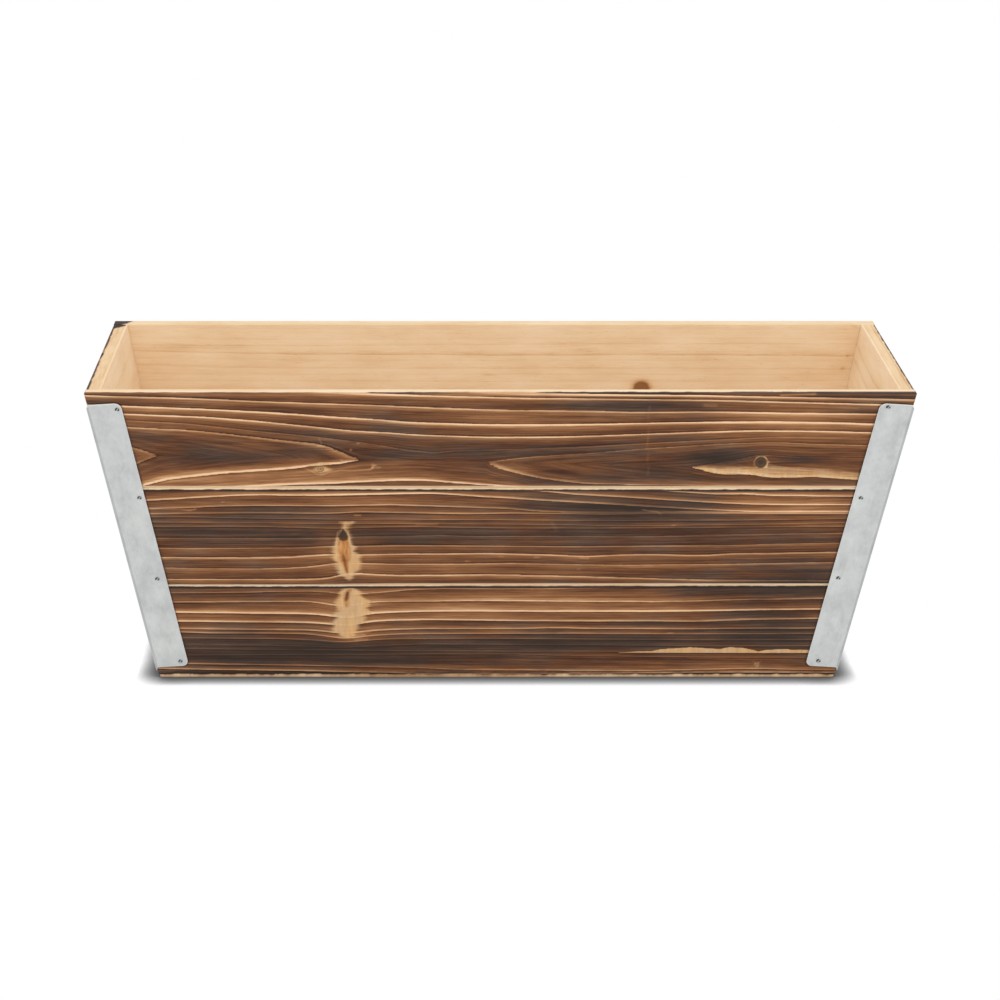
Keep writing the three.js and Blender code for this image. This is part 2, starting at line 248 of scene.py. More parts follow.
        (13, 0.5, [(-310, 239), (310, 239)]),
    ],
}

# How far the lines of a plank sit above those places: by drop in millimetres, and a factor along the plank
frontRaise = {
    "top": {
        "drop": [(0, 0.8), (44, 0.7), (56, 0)],
        "along": [(-310, 1.15), (-80, 1.1), (0, 0.8), (310, 0.8)],
    },
    "middle": {"drop": [(97, 0), (105, 0.8), (135, 0.8), (150, 0.5)], "along": [(-310, 1), (310, 1)]},
    "bottom": {
        "drop": [(178, 0.1), (186, -0.5), (202, -0.5), (208, 0)],
        "along": [(-310, 0.4), (-60, 1), (60, 1), (120, 0.5), (310, 0.5)],
    },
}

# Growth lines inside the back top plank: ring number, how dark it is, and (along, height) places
insideFigure = [
    (0, 0.2, [(-310, 240), (310, 240)]),
    (1, 0.35, [(-310, 232.5), (-120, 231.5), (60, 232), (310, 231)]),
    (2, 0.2, [(-310, 229), (-60, 228.5), (120, 228), (310, 228.5)]),
    (3, 0.45, [(-310, 225.2), (-200, 223.2), (-60, 223.6), (100, 224.4), (310, 223.6)]),
    (4, 0.85, [(-310, 219.5), (-200, 218.2), (-40, 219), (120, 220), (310, 219.8)]),
    (5, 1.5, [(-310, 214.6), (-250, 213.4), (-170, 211.4), (0, 210.6), (150, 210.8), (310, 209.6)]),
    (6, 0.3, [(-310, 208.5), (-120, 206), (60, 206.5), (310, 206)]),
    (7, 1.0, [(-310, 203.8), (-262, 202.5), (-215, 200.6), (0, 199.8), (190, 200), (262, 199.2),
              (310, 199.6)]),
    (8, 0.5, [(-310, 196), (-120, 194.6), (60, 195), (310, 194.6)]),
    (9, 0.6, [(-310, 190.5), (0, 189), (310, 190)]),
    (10, 0.4, [(-310, 184), (0, 183), (310, 184)]),
    (11, 0.5, [(-310, 177), (0, 175.5), (310, 177)]),
    (12, 0.4, [(-310, 169), (0, 167.5), (310, 169)]),
    (13, 0.4, [(-310, 158), (310, 158)]),
]

# Marks inside that plank: along, height, reach along, reach up, strength
insideMarks = [(118.8, 184.3, 6.6, 5.6, 3.2), (-5, 195.2, 5, 1.1, 0.4), (70, 215.2, 9, 1.6, 0.35),
               (-240, 217.5, 60, 1.8, 0.42), (289, 234, 2, 1.5, 0.6), (284, 210.5, 1.6, 1.2, 0.7),
               (280.5, 200.5, 1.6, 1.5, 0.7), (180, 199, 60, 1.2, 0.2)]

# Where the torch dwelt (above 0) or passed lightly (below 0): along, drop, reach along, reach down and
# strength
frontClouds = {
    "top": [(215, 22, 62, 11, -0.38), (-230, 18, 55, 7, -0.1), (90, 9, 55, 6, 0.34),
            (0, 45, 130, 6, 0.22), (160, 53.5, 22, 4.5, 0.45), (226, 54, 17, 3.5, 0.45),
            (-222, 50, 34, 9, 0.16), (-215, 67, 80, 9, -0.45), (-130, 66, 55, 8, -0.4),
            (-60, 67, 60, 6, -0.16), (110, 66, 45, 8, 0.2), (208, 61.8, 62, 4.2, -0.36),
            (20, 57, 22, 5, -0.08), (-60, 4, 90, 4, -0.12), (-150, 30, 70, 5, 0.08),
            (-90, 50, 28, 6, 0.12), (-15, 20, 45, 7, -0.28), (165, 48, 20, 4, 0.2),
            (-220, 18, 80, 16, -0.15), (30, 24, 50, 9, -0.25), (215, 36, 45, 10, -0.3),
            (-185, 53, 18, 5, 0.2), (-100, 62, 50, 10, -0.15), (-236, 69, 45, 5, -0.25),
            (30, 67, 25, 5, 0.15), (280, 3, 40, 3, 0.2), (-270, 4, 22, 4, 0.15), (140, 26, 22, 14, 0.12),
            (240, 66, 30, 6, -0.12), (-240, 71, 25, 3, -0.2)],
    "middle": [(-140, 80, 100, 5, -0.16), (222, 86, 44, 7, -0.42), (215, 94, 50, 3.5, -0.3),
               (90, 93, 60, 12, 0.3), (0, 114, 330, 9, 0.24), (-30, 143, 170, 10, -0.16),
               (205, 147, 70, 8, 0.16), (-240, 106, 60, 8, 0.1), (-10, 99, 50, 5, -0.08),
               (230, 153.5, 55, 2.5, 0.5), (-190, 97, 70, 8, 0.22), (-90, 82, 45, 4, -0.22),
               (-120, 84, 70, 6, -0.22), (105, 92, 45, 10, 0.2), (110, 97, 90, 6, 0.12),
               (215, 84, 30, 4, -0.15), (-20, 109, 50, 5, -0.14), (-10, 147, 90, 6, -0.14),
               (-170, 120, 50, 6, 0.08), (245, 109, 25, 5, -0.2), (-129, 128, 9, 14, -0.25),
               (-98, 133, 9, 12, -0.25), (30, 92, 20, 6, 0.15), (155, 91, 25, 5, 0.12)],
    "bottom": [(-60, 179, 190, 6, -0.3), (-215, 183, 60, 10, -0.16), (-170, 212, 110, 13, 0.45),
               (30, 208, 120, 8, 0.3), (215, 163, 90, 9, 0.34), (165, 224, 90, 5, -0.12),
               (30, 168, 120, 6, -0.3), (-230, 200, 40, 12, 0.05), (130, 203, 120, 7, 0.24),
               (-30, 222, 90, 4, 0.2), (-230, 233, 90, 3, -0.1), (190, 180, 60, 9, 0.22),
               (20, 170, 110, 12, -0.36), (120, 178, 50, 7, -0.25), (-112, 201, 15, 5, -0.6),
               (215, 195, 45, 14, 0.26), (175, 227, 25, 4, -0.12), (-128, 180, 12, 14, -0.22),
               (-96, 178, 12, 14, -0.28), (100, 189, 110, 7, 0.15), (220, 205, 40, 14, 0.12),
               (-205, 192, 30, 8, 0.12), (-170, 225, 60, 5, 0.12)],
}

# Knots of the front planks. A lens is given upwards (height, left, right), a band along the plank (its upper
# and its lower edge), an eye by its middle, radius and darkness, and a thread by its places and half width.
# The last number of each is the strength.
frontKnots = {
    "top": {
        "flesh": [
            ("band", [(143, 58.2), (150, 57.2), (178, 57.2), (187, 57.6), (192, 59.5), (196, 59),
                      (199.5, 52.8), (203, 56.2), (215, 58.2), (240, 59.6), (275, 62.5)],
             [(143, 59.2), (152, 62.3), (160, 64.4), (166, 65.3), (174, 64.1), (180, 63.3), (187, 63.9),
              (191, 66), (195, 67.7), (205, 68), (215, 67.3), (235, 66.8), (275, 70)], 0.48),
            ("lens", [(53.8, -134.5, -131), (57, -137.5, -127.5), (60.5, -139, -126),
                      (63, -136.5, -128.5), (65, -133.5, -131)], 0.75),
            ("lens", [(50, 189.5, 197.5), (55, 188.2, 199.4), (59.5, 190, 199)], 0.7),
            ("lens", [(56.5, -94.5, -92), (58.5, -95, -87), (60.3, -97, -89)], 0.45),
            ("lens", [(44, -137, -128), (38.5, -134, -131)][::-1], 0.3),
        ],
        "heart": [],
        "charAndShadow": [],
        "eyes": [(-132.7, 60.4, 2.35, 0.4), (193.4, 54.9, 4.5, 1.0)],
        "threads": [
            ([(-142.7, 60.6), (-138.9, 62.4), (-135.6, 64.4), (-132.3, 65.2), (-129, 64.2),
              (-126.6, 62.9), (-121.4, 62.4), (-118.6, 61.4), (-109, 61.7), (-98.3, 60.9)], 0.45, 0.75),
            ([(-98.3, 60.9), (-95.7, 60.6), (-94.4, 59.7), (-93.5, 57.8), (-93.8, 56.2)], 0.6, 0.75),
            ([(188.8, 58.5), (188.5, 54), (191.5, 50.2), (196, 50.3), (198.8, 54), (197.5, 59)], 0.35,
             0.6),
            ([(-105.1, 39.4), (-104.2, 39.5)], 0.6, 0.7),
            ([(-109.9, 44.3), (-109.7, 45.8)], 0.35, 0.7),
            ([(-117.4, 52.6), (-116.8, 54.2)], 0.6, 0.5),
            ([(-133.4, 35.5), (-131.5, 40)], 0.5, 0.35),
            ([(109.5, 10), (109, 40), (110.5, 66)], 0.5, 0.16),
            ([(198, 9.6), (262, 11.6)], 0.5, 0.35),
            ([(150, 9.2), (158, 9.4)], 1.2, 0.3),
            ([(205, 1.4), (216, 0.9), (231, 0.6)], 0.6, 0.55),
        ],
    },
    "middle": {
        "flesh": [
            ("lens", [(103.5, -119, -110), (107, -119, -111.5), (111, -120.4, -111.3),
                      (116, -121.5, -110.4), (121.7, -123.6, -109), (127.2, -125, -106.8),
                      (132.8, -124.6, -104), (138.3, -123.4, -102.8), (142.5, -121.8, -103.8),
                      (147.6, -119.3, -107.4), (153.4, -115.5, -109.6)], 1.0),
            ("band", [(-118, 102.6), (-100, 102.9)], [(-118, 104.6), (-100, 104.4)], 0.55),
            ("band", [(-122, 105.6), (-101, 105.6)], [(-122, 106.8), (-101, 106.9)], 0.35),
            ("lens", [(127, 72, 75), (130.5, 69, 78)], 0.35),
        ],
        "heart": [
            ("lens", [(117.5, -119.8, -113), (122, -120.8, -112), (127.2, -120.4, -111.3),
                      (131.4, -119.2, -111.9), (137, -118.4, -112.4), (142.5, -116.2, -112.6),
                      (146.6, -114.8, -113)], 0.9),
        ],
        "charAndShadow": [
            ("lens", [(109.4, -117.3, -116.2), (113.3, -119.4, -113.6), (116, -120.3, -112.8),
                      (118.2, -119.8, -113.2), (119.6, -118, -115)], 0.95),
            ("lens", [(130.5, -117.1, -116.4), (135.5, -117.3, -115), (139.7, -116.5, -114.4),
                      (146.4, -114.2, -113.7)], 0.72),
        ],
        "eyes": [],
        "threads": [([(-113.5, 112), (-111.6, 121), (-110.3, 129), (-110.8, 137), (-112.8, 146)], 0.35,
                     0.6), ([(-120.9, 112), (-122, 122), (-121.3, 131), (-119.8, 138), (-115.5, 147.5)],
                            0.35, 0.6), ([(-119.5, 103.7), (-109, 103.7)], 0.5, 0.6),
                    ([(-108, 98.3), (-103.5, 98.3)], 0.5, 0.6), ([(62, 133.6), (68, 134)], 0.6, 0.75),
                    ([(27, 133), (31, 133)], 0.5, 0.55), ([(-25, 136.4), (-22, 136.5)], 0.5, 0.5),
                    ([(0, 132.6), (4, 132.6)], 0.5, 0.4), ([(60, 143), (62, 143)], 0.5, 0.4),
                    ([(107, 93.5), (112, 94.5), (118, 95), (121, 97.3)], 0.45, 0.45),
                    ([(130, 106.5), (132, 106.3)], 0.6, 0.55), ([(-207, 87.2), (-205.5, 87.2)], 0.5, 0.6),
                    ([(-310, 93.6), (-262, 93.4), (-240, 93.2), (-226, 93.4)], 0.4, 0.5),
                    ([(-237, 93.2), (-231, 94.3), (-227, 92.9)], 0.4, 0.6),
                    ([(110, 140.2), (117, 140.3)], 0.4, 0.4), ([(-62, 106), (-46, 105.4)], 0.8, 0.3),
                    ([(40, 105), (43, 110)], 1.6, 0.12)],
    },
    "bottom": {
        "flesh": [
            ("lens", [(158.8, -117, -107), (163, -119.5, -104), (166.3, -121, -102), (172, -122.8, -98.8),
                      (177.6, -122.8, -98.4), (183.3, -124.4, -100.6), (189, -126.4, -104),
                      (193.2, -127, -107), (197.5, -123, -108), (201.3, -117, -112)], 1.0),
            ("lens", [(221, 198.5, 201), (224.2, 196.8, 202.4), (227.5, 198.7, 201)], 0.5),
        ],
        "heart": [
            ("lens", [(159, -112, -110.5), (163, -116.5, -112), (170, -117.2, -113), (175, -116, -113.6)],
             0.7),
        ],
        "charAndShadow": [
            ("lens", [(162.2, -114.6, -113.2), (165, -115.6, -113.3), (168, -116.2, -113.9),
                      (170.6, -115.9, -114.8)], 0.85),
            ("lens", [(171, -115.8, -114.6), (176, -115.4, -114.8)], 0.3),
            ("lens", [(222.3, 199.5, 199.9), (226, 199.6, 200.1)], 0.6),
        ],
        "eyes": [],
        "threads": [
            ([(-118, 198.4), (-114.5, 199.3), (-108, 198.2), (-97, 196.4)], 0.5, 0.6),
            ([(-111, 199.6), (-106.6, 199.2), (-101, 198.9)], 0.55, 0.85),
            ([(-109, 203.6), (-105, 203.3), (-99, 203.1)], 0.5, 0.6),
            ([(41, 192.9), (55, 192.8), (69, 193.5)], 0.6, 0.8),
            ([(46, 197.3), (75, 197.6)], 0.4, 0.4),
            ([(196, 226.5), (199.7, 224), (203.4, 221.6)], 0.3, 0.4),
            ([(196.2, 221.8), (203, 226.6)], 0.3, 0.4),
            ([(130, 197.3), (134, 197.4)], 0.4, 0.5),
        ],
    },
}


figureGrid = {"along": 0.5, "down": 0.25, "reach": 310.0, "margin": 4.0, "smoothing": 5.0, "relief": 0.26}


def lineRings(row, along, drops):
    # ring number and glow between the listed lines, column by column
    lines = frontFigure[row]
    raising = {key: np.array(points, float).T for key, points in frontRaise[row].items()}
    share = np.interp(along, *raising["along"])
    places, rings, glows = [], [], []
    for ring, glow, points in lines:
        xs = [p[0] for p in points]
        drop = np.interp(along, xs, [p[1] for p in points])
        drop = drop - share * np.interp(drop, *raising["drop"])
        drop = blurRows(drop[None], figureGrid["smoothing"], figureGrid["along"])[0]
        drop[(along < xs[0]) | (along > xs[-1])] = np.nan
        places.append(drop)
        if ring == "spine":
            rings.append(np.interp(along, xs, [p[2] for p in points]))
        else:
            rings.append(np.full(len(along), float(ring)))
        glows.append(glow)
    places, rings, glows = np.array(places), np.array(rings), np.array(glows)
    ring = np.empty((len(along), len(drops)))
    glow = np.empty_like(ring)
    for i in range(len(along)):
        here = np.flatnonzero(~np.isnan(places[:, i]))
        here = here[np.argsort(places[here, i])]
        ring[i] = np.interp(drops, places[here, i], rings[here, i])
        glow[i] = np.interp(drops, places[here, i], glows[here])
    return ring, glow


def seededRings(seed, x, s, low, high):
    # cathedral or straight figure round a wandering pith at some depth behind the face
    rng = np.random.default_rng(seed)
    pith = rng.uniform(low - 25, high + 25) + swell(x / 130 + 9, x * 0, seed + 1, 16)
    depth = rng.uniform(5, 30) + rng.uniform(-0.05, 0.05) * x + swell(x / 90, x * 0 + 3, seed + 2, 10)
    wobble = swell(x / 22, s / 7, seed + 3, 1.6)
    ring = np.hypot(s - pith + wobble, depth) / rng.uniform(5.2, 7.5)
    table = rng.uniform(0.15, 0.9, 64)
    lower = np.floor(ring).astype(int)
    share = ring - lower
    return ring, table[lower % 64] * (1 - share) + table[(lower + 1) % 64] * share


def cloudField(patches, x, s, seed):
    cloud = swell(x / 38, s / 7, seed + 5, 0.2) + swell(x / 11, s / 2.2, seed + 6, 0.1)
    for along, drop, reachAlong, reachDown, strength in patches:
        cloud += strength * np.exp(-((x - along) / reachAlong) ** 2 - ((s - drop) / reachDown) ** 2)
    return cloud


def shapeMask(shape, x, s, fray, soft):
    # a lens or a band whose edges feather along the grain
    if shape[0] == "lens":
        outline, strength = shape[1:]
        drops = [p[0] for p in outline]
        left = np.interp(s, drops, [p[1] for p in outline])
        right = np.interp(s, drops, [p[2] for p in outline])
        inside = np.minimum(x - left, right - x) / soft + fray
        ends = ease((s - drops[0]) / (0.4 * soft) + 0.5) * ease((drops[-1] - s) / (0.4 * soft) + 0.5)
        return strength * ease(inside + 0.5) * ends
    upper, lower, strength = shape[1:]
    top = np.interp(x, [p[0] for p in upper], [p[1] for p in upper])
    low = np.interp(x, [p[0] for p in lower], [p[1] for p in lower])
    inside = ease((s - top) / 1.6 + 0.5 + fray) * ease((low - s) / 0.8 + 0.5)
    return strength * inside * ease((x - upper[0][0]) / 9 + fray) * ease((upper[-1][0] - x) / 9 + fray)


def threadMask(thread, x, s):
    # a thin pale line through its places
    places, halfWidth, strength = thread
    nearest = np.full_like(x, 1e9)
    for (x0, s0), (x1, s1) in zip(places, places[1:]):
        square = (x1 - x0) ** 2 + (s1 - s0) ** 2
        along = np.clip(((x - x0) * (x1 - x0) + (s - s0) * (s1 - s0)) / square, 0, 1)
        nearest = np.minimum(nearest, np.hypot(x - x0 - along * (x1 - x0), s - s0 - along * (s1 - s0)))
    return strength * np.exp(-(nearest / halfWidth) ** 2)


def addKnots(field, knots, x, s, seed):
    fray = swell(x / 9, s / 3.2, seed, 0.55) + swell(x / 5, s / 1.6, seed + 1, 0.2)
    for name, soft, share in (("flesh", 12.0, 0.5), ("heart", 2.8, 0.8), ("charAndShadow", 1.7, 0.6)):
        for shape in knots[name]:
            narrow = shape[0] == "lens" and max(p[2] - p[1] for p in shape[1]) < 13
            reach = min(soft, 2.4) if narrow else soft
            field[name] = np.maximum(field[name], shapeMask(shape, x, s, share * fray, reach))
    for thread in knots["threads"]:
        field["thread"] = np.maximum(field["thread"], threadMask(thread, x, s))
    for middle, drop, radius, dark in knots["eyes"]:
        away = np.hypot(x - middle, s - drop) / radius
        ring = 0.85 * np.exp(-((away - 0.9) / 0.15) ** 2) + 0.8 * ease((0.34 - away) / 0.14)
        body = dark * ease((1.02 - away) / 0.14) - 0.22 * np.exp(-((away - 0.6) / 0.1) ** 2)
        field["heart"] = np.maximum(field["heart"], 0.4 * ease((1.0 - away) / 0.3))
        field["charAndShadow"] = np.maximum(field["charAndShadow"], np.clip(np.maximum(ring, body), 0, 0.95) * (away < 1.5))
        collar = 0.4 * ease((x - middle) / radius + 0.8) * np.exp(-((away - 1.2) / 0.16) ** 2)
        collar *= ease((drop + 0.4 * radius - s) / radius + 0.5)
        field["flesh"] = np.maximum(field["flesh"], collar)


# A long splinter torn out low on the front: its upper edge, its lower edge and how deep it went
tearOut = {
    "along": (91.0, 241.0),
    "upper": [(91, 214), (110, 213.5), (118, 213), (125, 211.5), (149, 209.8), (165, 211), (172, 211.3),
              (175, 210), (182, 209.7), (190, 210.5), (201, 213.3), (208, 212), (220, 211.5),
              (241, 212.3)],
    "lower": 214.9,
    "depth": 0.8,
}


def tearMask(x, s):
    upper = np.interp(x, [p[0] for p in tearOut["upper"]], [p[1] for p in tearOut["upper"]])
    upper = upper + swell(x / 2.5, s / 3, 71, 0.5)
    inside = ease((s - upper) / 0.4 + 0.5) * ease((tearOut["lower"] - s) / 0.3 + 0.5)
    return inside * ease((x - tearOut["along"][0]) / 3) * ease((tearOut["along"][1] - x) / 3)


def plankField(wall, row, seed):
    low, high = trough["height"] - np.array(trough["rows"][row])[::-1]
    reach, margin = figureGrid["reach"], figureGrid["margin"]
    along = np.arange(-reach, reach + 0.01, figureGrid["along"])
    drops = np.arange(low - margin, high + margin, figureGrid["down"])
    x, s = np.meshgrid(along, drops, indexing="ij")
    isFront = wall == "front"
    ring, glow = lineRings(row, along, drops) if isFront else seededRings(seed, x, s, low, high)
    width = np.clip(1 / (np.abs(np.gradient(ring, figureGrid["down"], axis=1)) + 1e-6), 0.5, 20)
    phase = ring - np.floor(ring)
    recess = blurRows(figureGrid["relief"] * (1 - phase ** 1.5), 0.4, figureGrid["down"])
    field = {name: np.zeros_like(x) for name in ("flesh", "heart", "charAndShadow", "thread")}
    field.update({"ring": ring, "width": width, "glow": glow})
    field["cloud"] = cloudField(frontClouds[row] if isFront else [], x, s, seed)
    if isFront:
        addKnots(field, frontKnots[row], x, s, seed + 11)
    if isFront and row == "bottom":
        torn = tearMask(x, s)
        field["flesh"] = np.maximum(field["flesh"], torn)
        recess = recess + tearOut["depth"] * torn
        under = np.exp(-((s - tearOut["lower"] - 0.4) / 0.35) ** 2)
        under *= ease((x - tearOut["along"][0]) / 6) * ease((tearOut["along"][1] - x) / 6)
        field["charAndShadow"] = np.maximum(field["charAndShadow"], 0.9 * under)
    field["recess"] = recess * (1 - 0.7 * field["flesh"]) + 0.35 * field["charAndShadow"] + 0.15 * field["heart"]
    return along, drops, field


def sampleField(along, drops, grid, x, s):
    i = np.clip((x - along[0]) / (along[1] - along[0]), 0, len(along) - 1.001)
    j = np.clip((s - drops[0]) / (drops[1] - drops[0]), 0, len(drops) - 1.001)
    i0, j0 = i.astype(int), j.astype(int)
    fi, fj = i - i0, j - j0
    near = grid[i0, j0] * (1 - fj) + grid[i0, j0 + 1] * fj
    far = grid[i0 + 1, j0] * (1 - fj) + grid[i0 + 1, j0 + 1] * fj
    return near * (1 - fi) + far * fi


plankShape = {
    "arris": 0.8,
    "lowerArris": 0.3,
    "endRound": 0.6,
    "frontChamfer": {"bottom": 1.9, "middle": 2.4, "top": 1.8},
    "chamfer": {"bottom": 1.3, "middle": 2.0, "top": 0.9},
    "caps": (0.9, 0.7, 0.45, 0.2),
    "rimStep": 0.45,
    "strapShade": 0.6,
    "bodyShare": 0.96,
}
meshSteps = {
    "front": {
        "face": 0.6, "inside": 1.6, "along": 1.5,
        "finer": {"top": [(-141, -125), (184, 203)], "middle": [(-128, -101)], "bottom": [(-128, -98)]},
    },
    "back": {"face": 0.9, "inside": 0.9, "along": 2.0},
    "left": {"face": 0.7, "inside": 1.2, "along": 1.5},
    "right": {"face": 0.7, "inside": 1.2, "along": 1.5},
}


def arcPoints(q, h, radius, start, stop, steps):
    turn = np.radians(np.linspace(start, stop, steps))
    return np.stack([q + radius * np.cos(turn), h + radius * np.sin(turn)], 1)


def straightRun(start, stop, step):
    count = max(2, int(round(math.dist(start, stop) / step)) + 1)
    return np.linspace(start, stop, count)[1:-1]


def plankSection(low, high, chamfer, steps):
    # q is the depth behind the outer face and h the height; zones: 0 face, 1 chamfer, 2 top, 3 inside,
    # 4 underside, 5 the lower outer arris
    wall = trough["wall"]
    arris = plankShape["lowerArris"]
    share = np.linspace(0, 1, 7)
    bulge = 0.1 * chamfer * np.sin(np.pi * share)
    slope = np.stack([chamfer * share - 0.7 * bulge, high - chamfer * (1 - share) + 0.7 * bulge], 1)
    below = np.array([[0.0, high - chamfer - d] for d in (0.45, 0.2)])
    runs = [
        (5, arcPoints(arris, low + arris, arris, 270, 180, 5)),
        (0, straightRun((0, low + arris), (0, high - chamfer - 0.45), steps["face"])),
        (0, below),
        (1, slope),
        (2, straightRun((chamfer, high), (chamfer + 3.6, high), plankShape["rimStep"])),
        (2, straightRun((chamfer + 3.2, high), (wall - arris, high), 1.3)),
        (3, arcPoints(wall - arris, high - arris, arris, 90, 0, 5)),
        (3, straightRun((wall, high - arris), (wall, low + arris), steps["inside"])),
        (3, arcPoints(wall - arris, low + arris, arris, 0, -90, 4)),
        (4, straightRun((wall - arris, low), (arris, low), 1.6)),
    ]
    zones = np.concatenate([np.full(len(points), zone) for zone, points in runs])
    points = np.concatenate([points for zone, points in runs])
    return points[:, 0], points[:, 1], zones


def sectionNormals(q, h):
    dq, dh = np.roll(q, -1) - np.roll(q, 1), np.roll(h, -1) - np.roll(h, 1)
    length = np.hypot(dq, dh) + 1e-9
    return dh / length, -dq / length


def alongStations(half, step, finer=()):
    # from one end to the other, close together where the ends are rounded and in the finer stretches
    near = half - np.array([0, 0.05, 0.15, 0.32, 0.6, 1.1])
    count = int(2 * (half - 2.2) / step)
    middle = np.linspace(-(half - 2.2), half - 2.2, count)
    between = (middle[1:] + middle[:-1]) / 2
    extra = [between[(between > low) & (between < high)] for low, high in finer]
    return np.concatenate([-near, np.sort(np.concatenate([middle, *extra])), near[::-1]])


def placeOnWall(wall, u, q, h):
    if wall in ("front", "back"):
        face = -1 if wall == "front" else 1
        return np.stack([u * outsideX(h), face * (outsideY(h) - q / math.cos(trough["faceLean"])), h], -1)
    side = -1 if wall == "left" else 1
    reach = outsideY(h) - faceRun - trough["jointGap"]
    return np.stack([side * (outsideX(h) - q / math.cos(trough["endLean"])), u * reach, h], -1)


def planeCorners(points, wall):
    # the corner of the timber is planed off where the strap folds round it
    for cornerSide in (-1, 1):
        corner = cornerOf(cornerSide, -1 if wall == "front" else 1)
        middle = corner["middle"]
        over = (points - corner["foldCentre"]) @ middle - corner["planed"]
        points = points - np.clip(over, 0, None)[..., None] * middle
    return points


def closeWinding(points, quads, triangles):
    # turns the faces outwards by the sign of the volume
    a, b, c, d = (points[quads[:, k]] for k in range(4))
    volume = np.einsum("ij,ij->", np.cross(a, b), c) + np.einsum("ij,ij->", np.cross(a, c), d)
    e, f, g = (points[triangles[:, k]] for k in range(3))
    volume += np.einsum("ij,ij->", np.cross(e, f), g)
    return (quads, triangles) if volume > 0 else (quads[:, ::-1], triangles[:, ::-1])


def tubeFaces(rings, sides):
    i, j = np.meshgrid(np.arange(rings - 1), np.arange(sides), indexing="ij")
    k = (j + 1) % sides
    here, ahead = i * sides, (i + 1) * sides
    quads = np.stack([here + j, ahead + j, ahead + k, here + k], -1).reshape(-1, 4)
    first, last = rings * sides, rings * sides + 1
    j = np.arange(sides)
    k = (j + 1) % sides
    near = np.stack([j, k, np.full(sides, first)], 1)
    far = np.stack([(rings - 1) * sides + k, (rings - 1) * sides + j, np.full(sides, last)], 1)
    return quads, np.concatenate([near, far])


def layBake(piece, across, up, capAcross, capUp, isCap):
    # body faces unroll lengthwise, the two ends lie beside them
    mesh = piece.data
    count = len(mesh.loops)
    corner = np.empty(count, np.int32)
    mesh.loops.foreach_get("vertex_index", corner)
    total = np.empty(len(mesh.polygons), np.int32)
    mesh.polygons.foreach_get("loop_total", total)
    face = np.repeat(np.arange(len(total)), total)
    highest = np.zeros(len(total))
    np.maximum.at(highest, face, up[corner])
    lowest = np.ones(len(total))
    np.minimum.at(lowest, face, up[corner])
    wraps = (highest - lowest)[face] > 0.5
    unrolled = np.where(wraps & (up[corner] < 0.5), 1.0, up[corner])
    cap = isCap[face]
    uv = np.stack([np.where(cap, capAcross[corner], across[corner]),
                   np.where(cap, capUp[corner], unrolled)], 1)
    layer = mesh.uv_layers.new(name="OFBake")
    layer.data.foreach_set("uv", np.clip(uv, 0, 1).astype(np.float32).ravel())


def roundedEnds(half, stations):
    # for each section along a board: its place as a share of half the length, how far its outline is drawn
    # in, and its size, which shrinks over the flat ends
    inset = np.clip(plankShape["endRound"] - (half - np.abs(stations)), 0, None)
    inset = plankShape["endRound"] - np.sqrt(plankShape["endRound"] ** 2 - inset ** 2)
    caps = np.array(plankShape["caps"])
    u = np.concatenate([np.full(len(caps), -1.0), stations / half, np.full(len(caps), 1.0)])
    inset = np.concatenate([np.full(len(caps), inset[0]), inset, np.full(len(caps), inset[-1])])
    shrink = np.concatenate([caps[::-1], np.ones(len(stations)), caps])
    return u[:, None], inset[:, None], shrink[:, None]


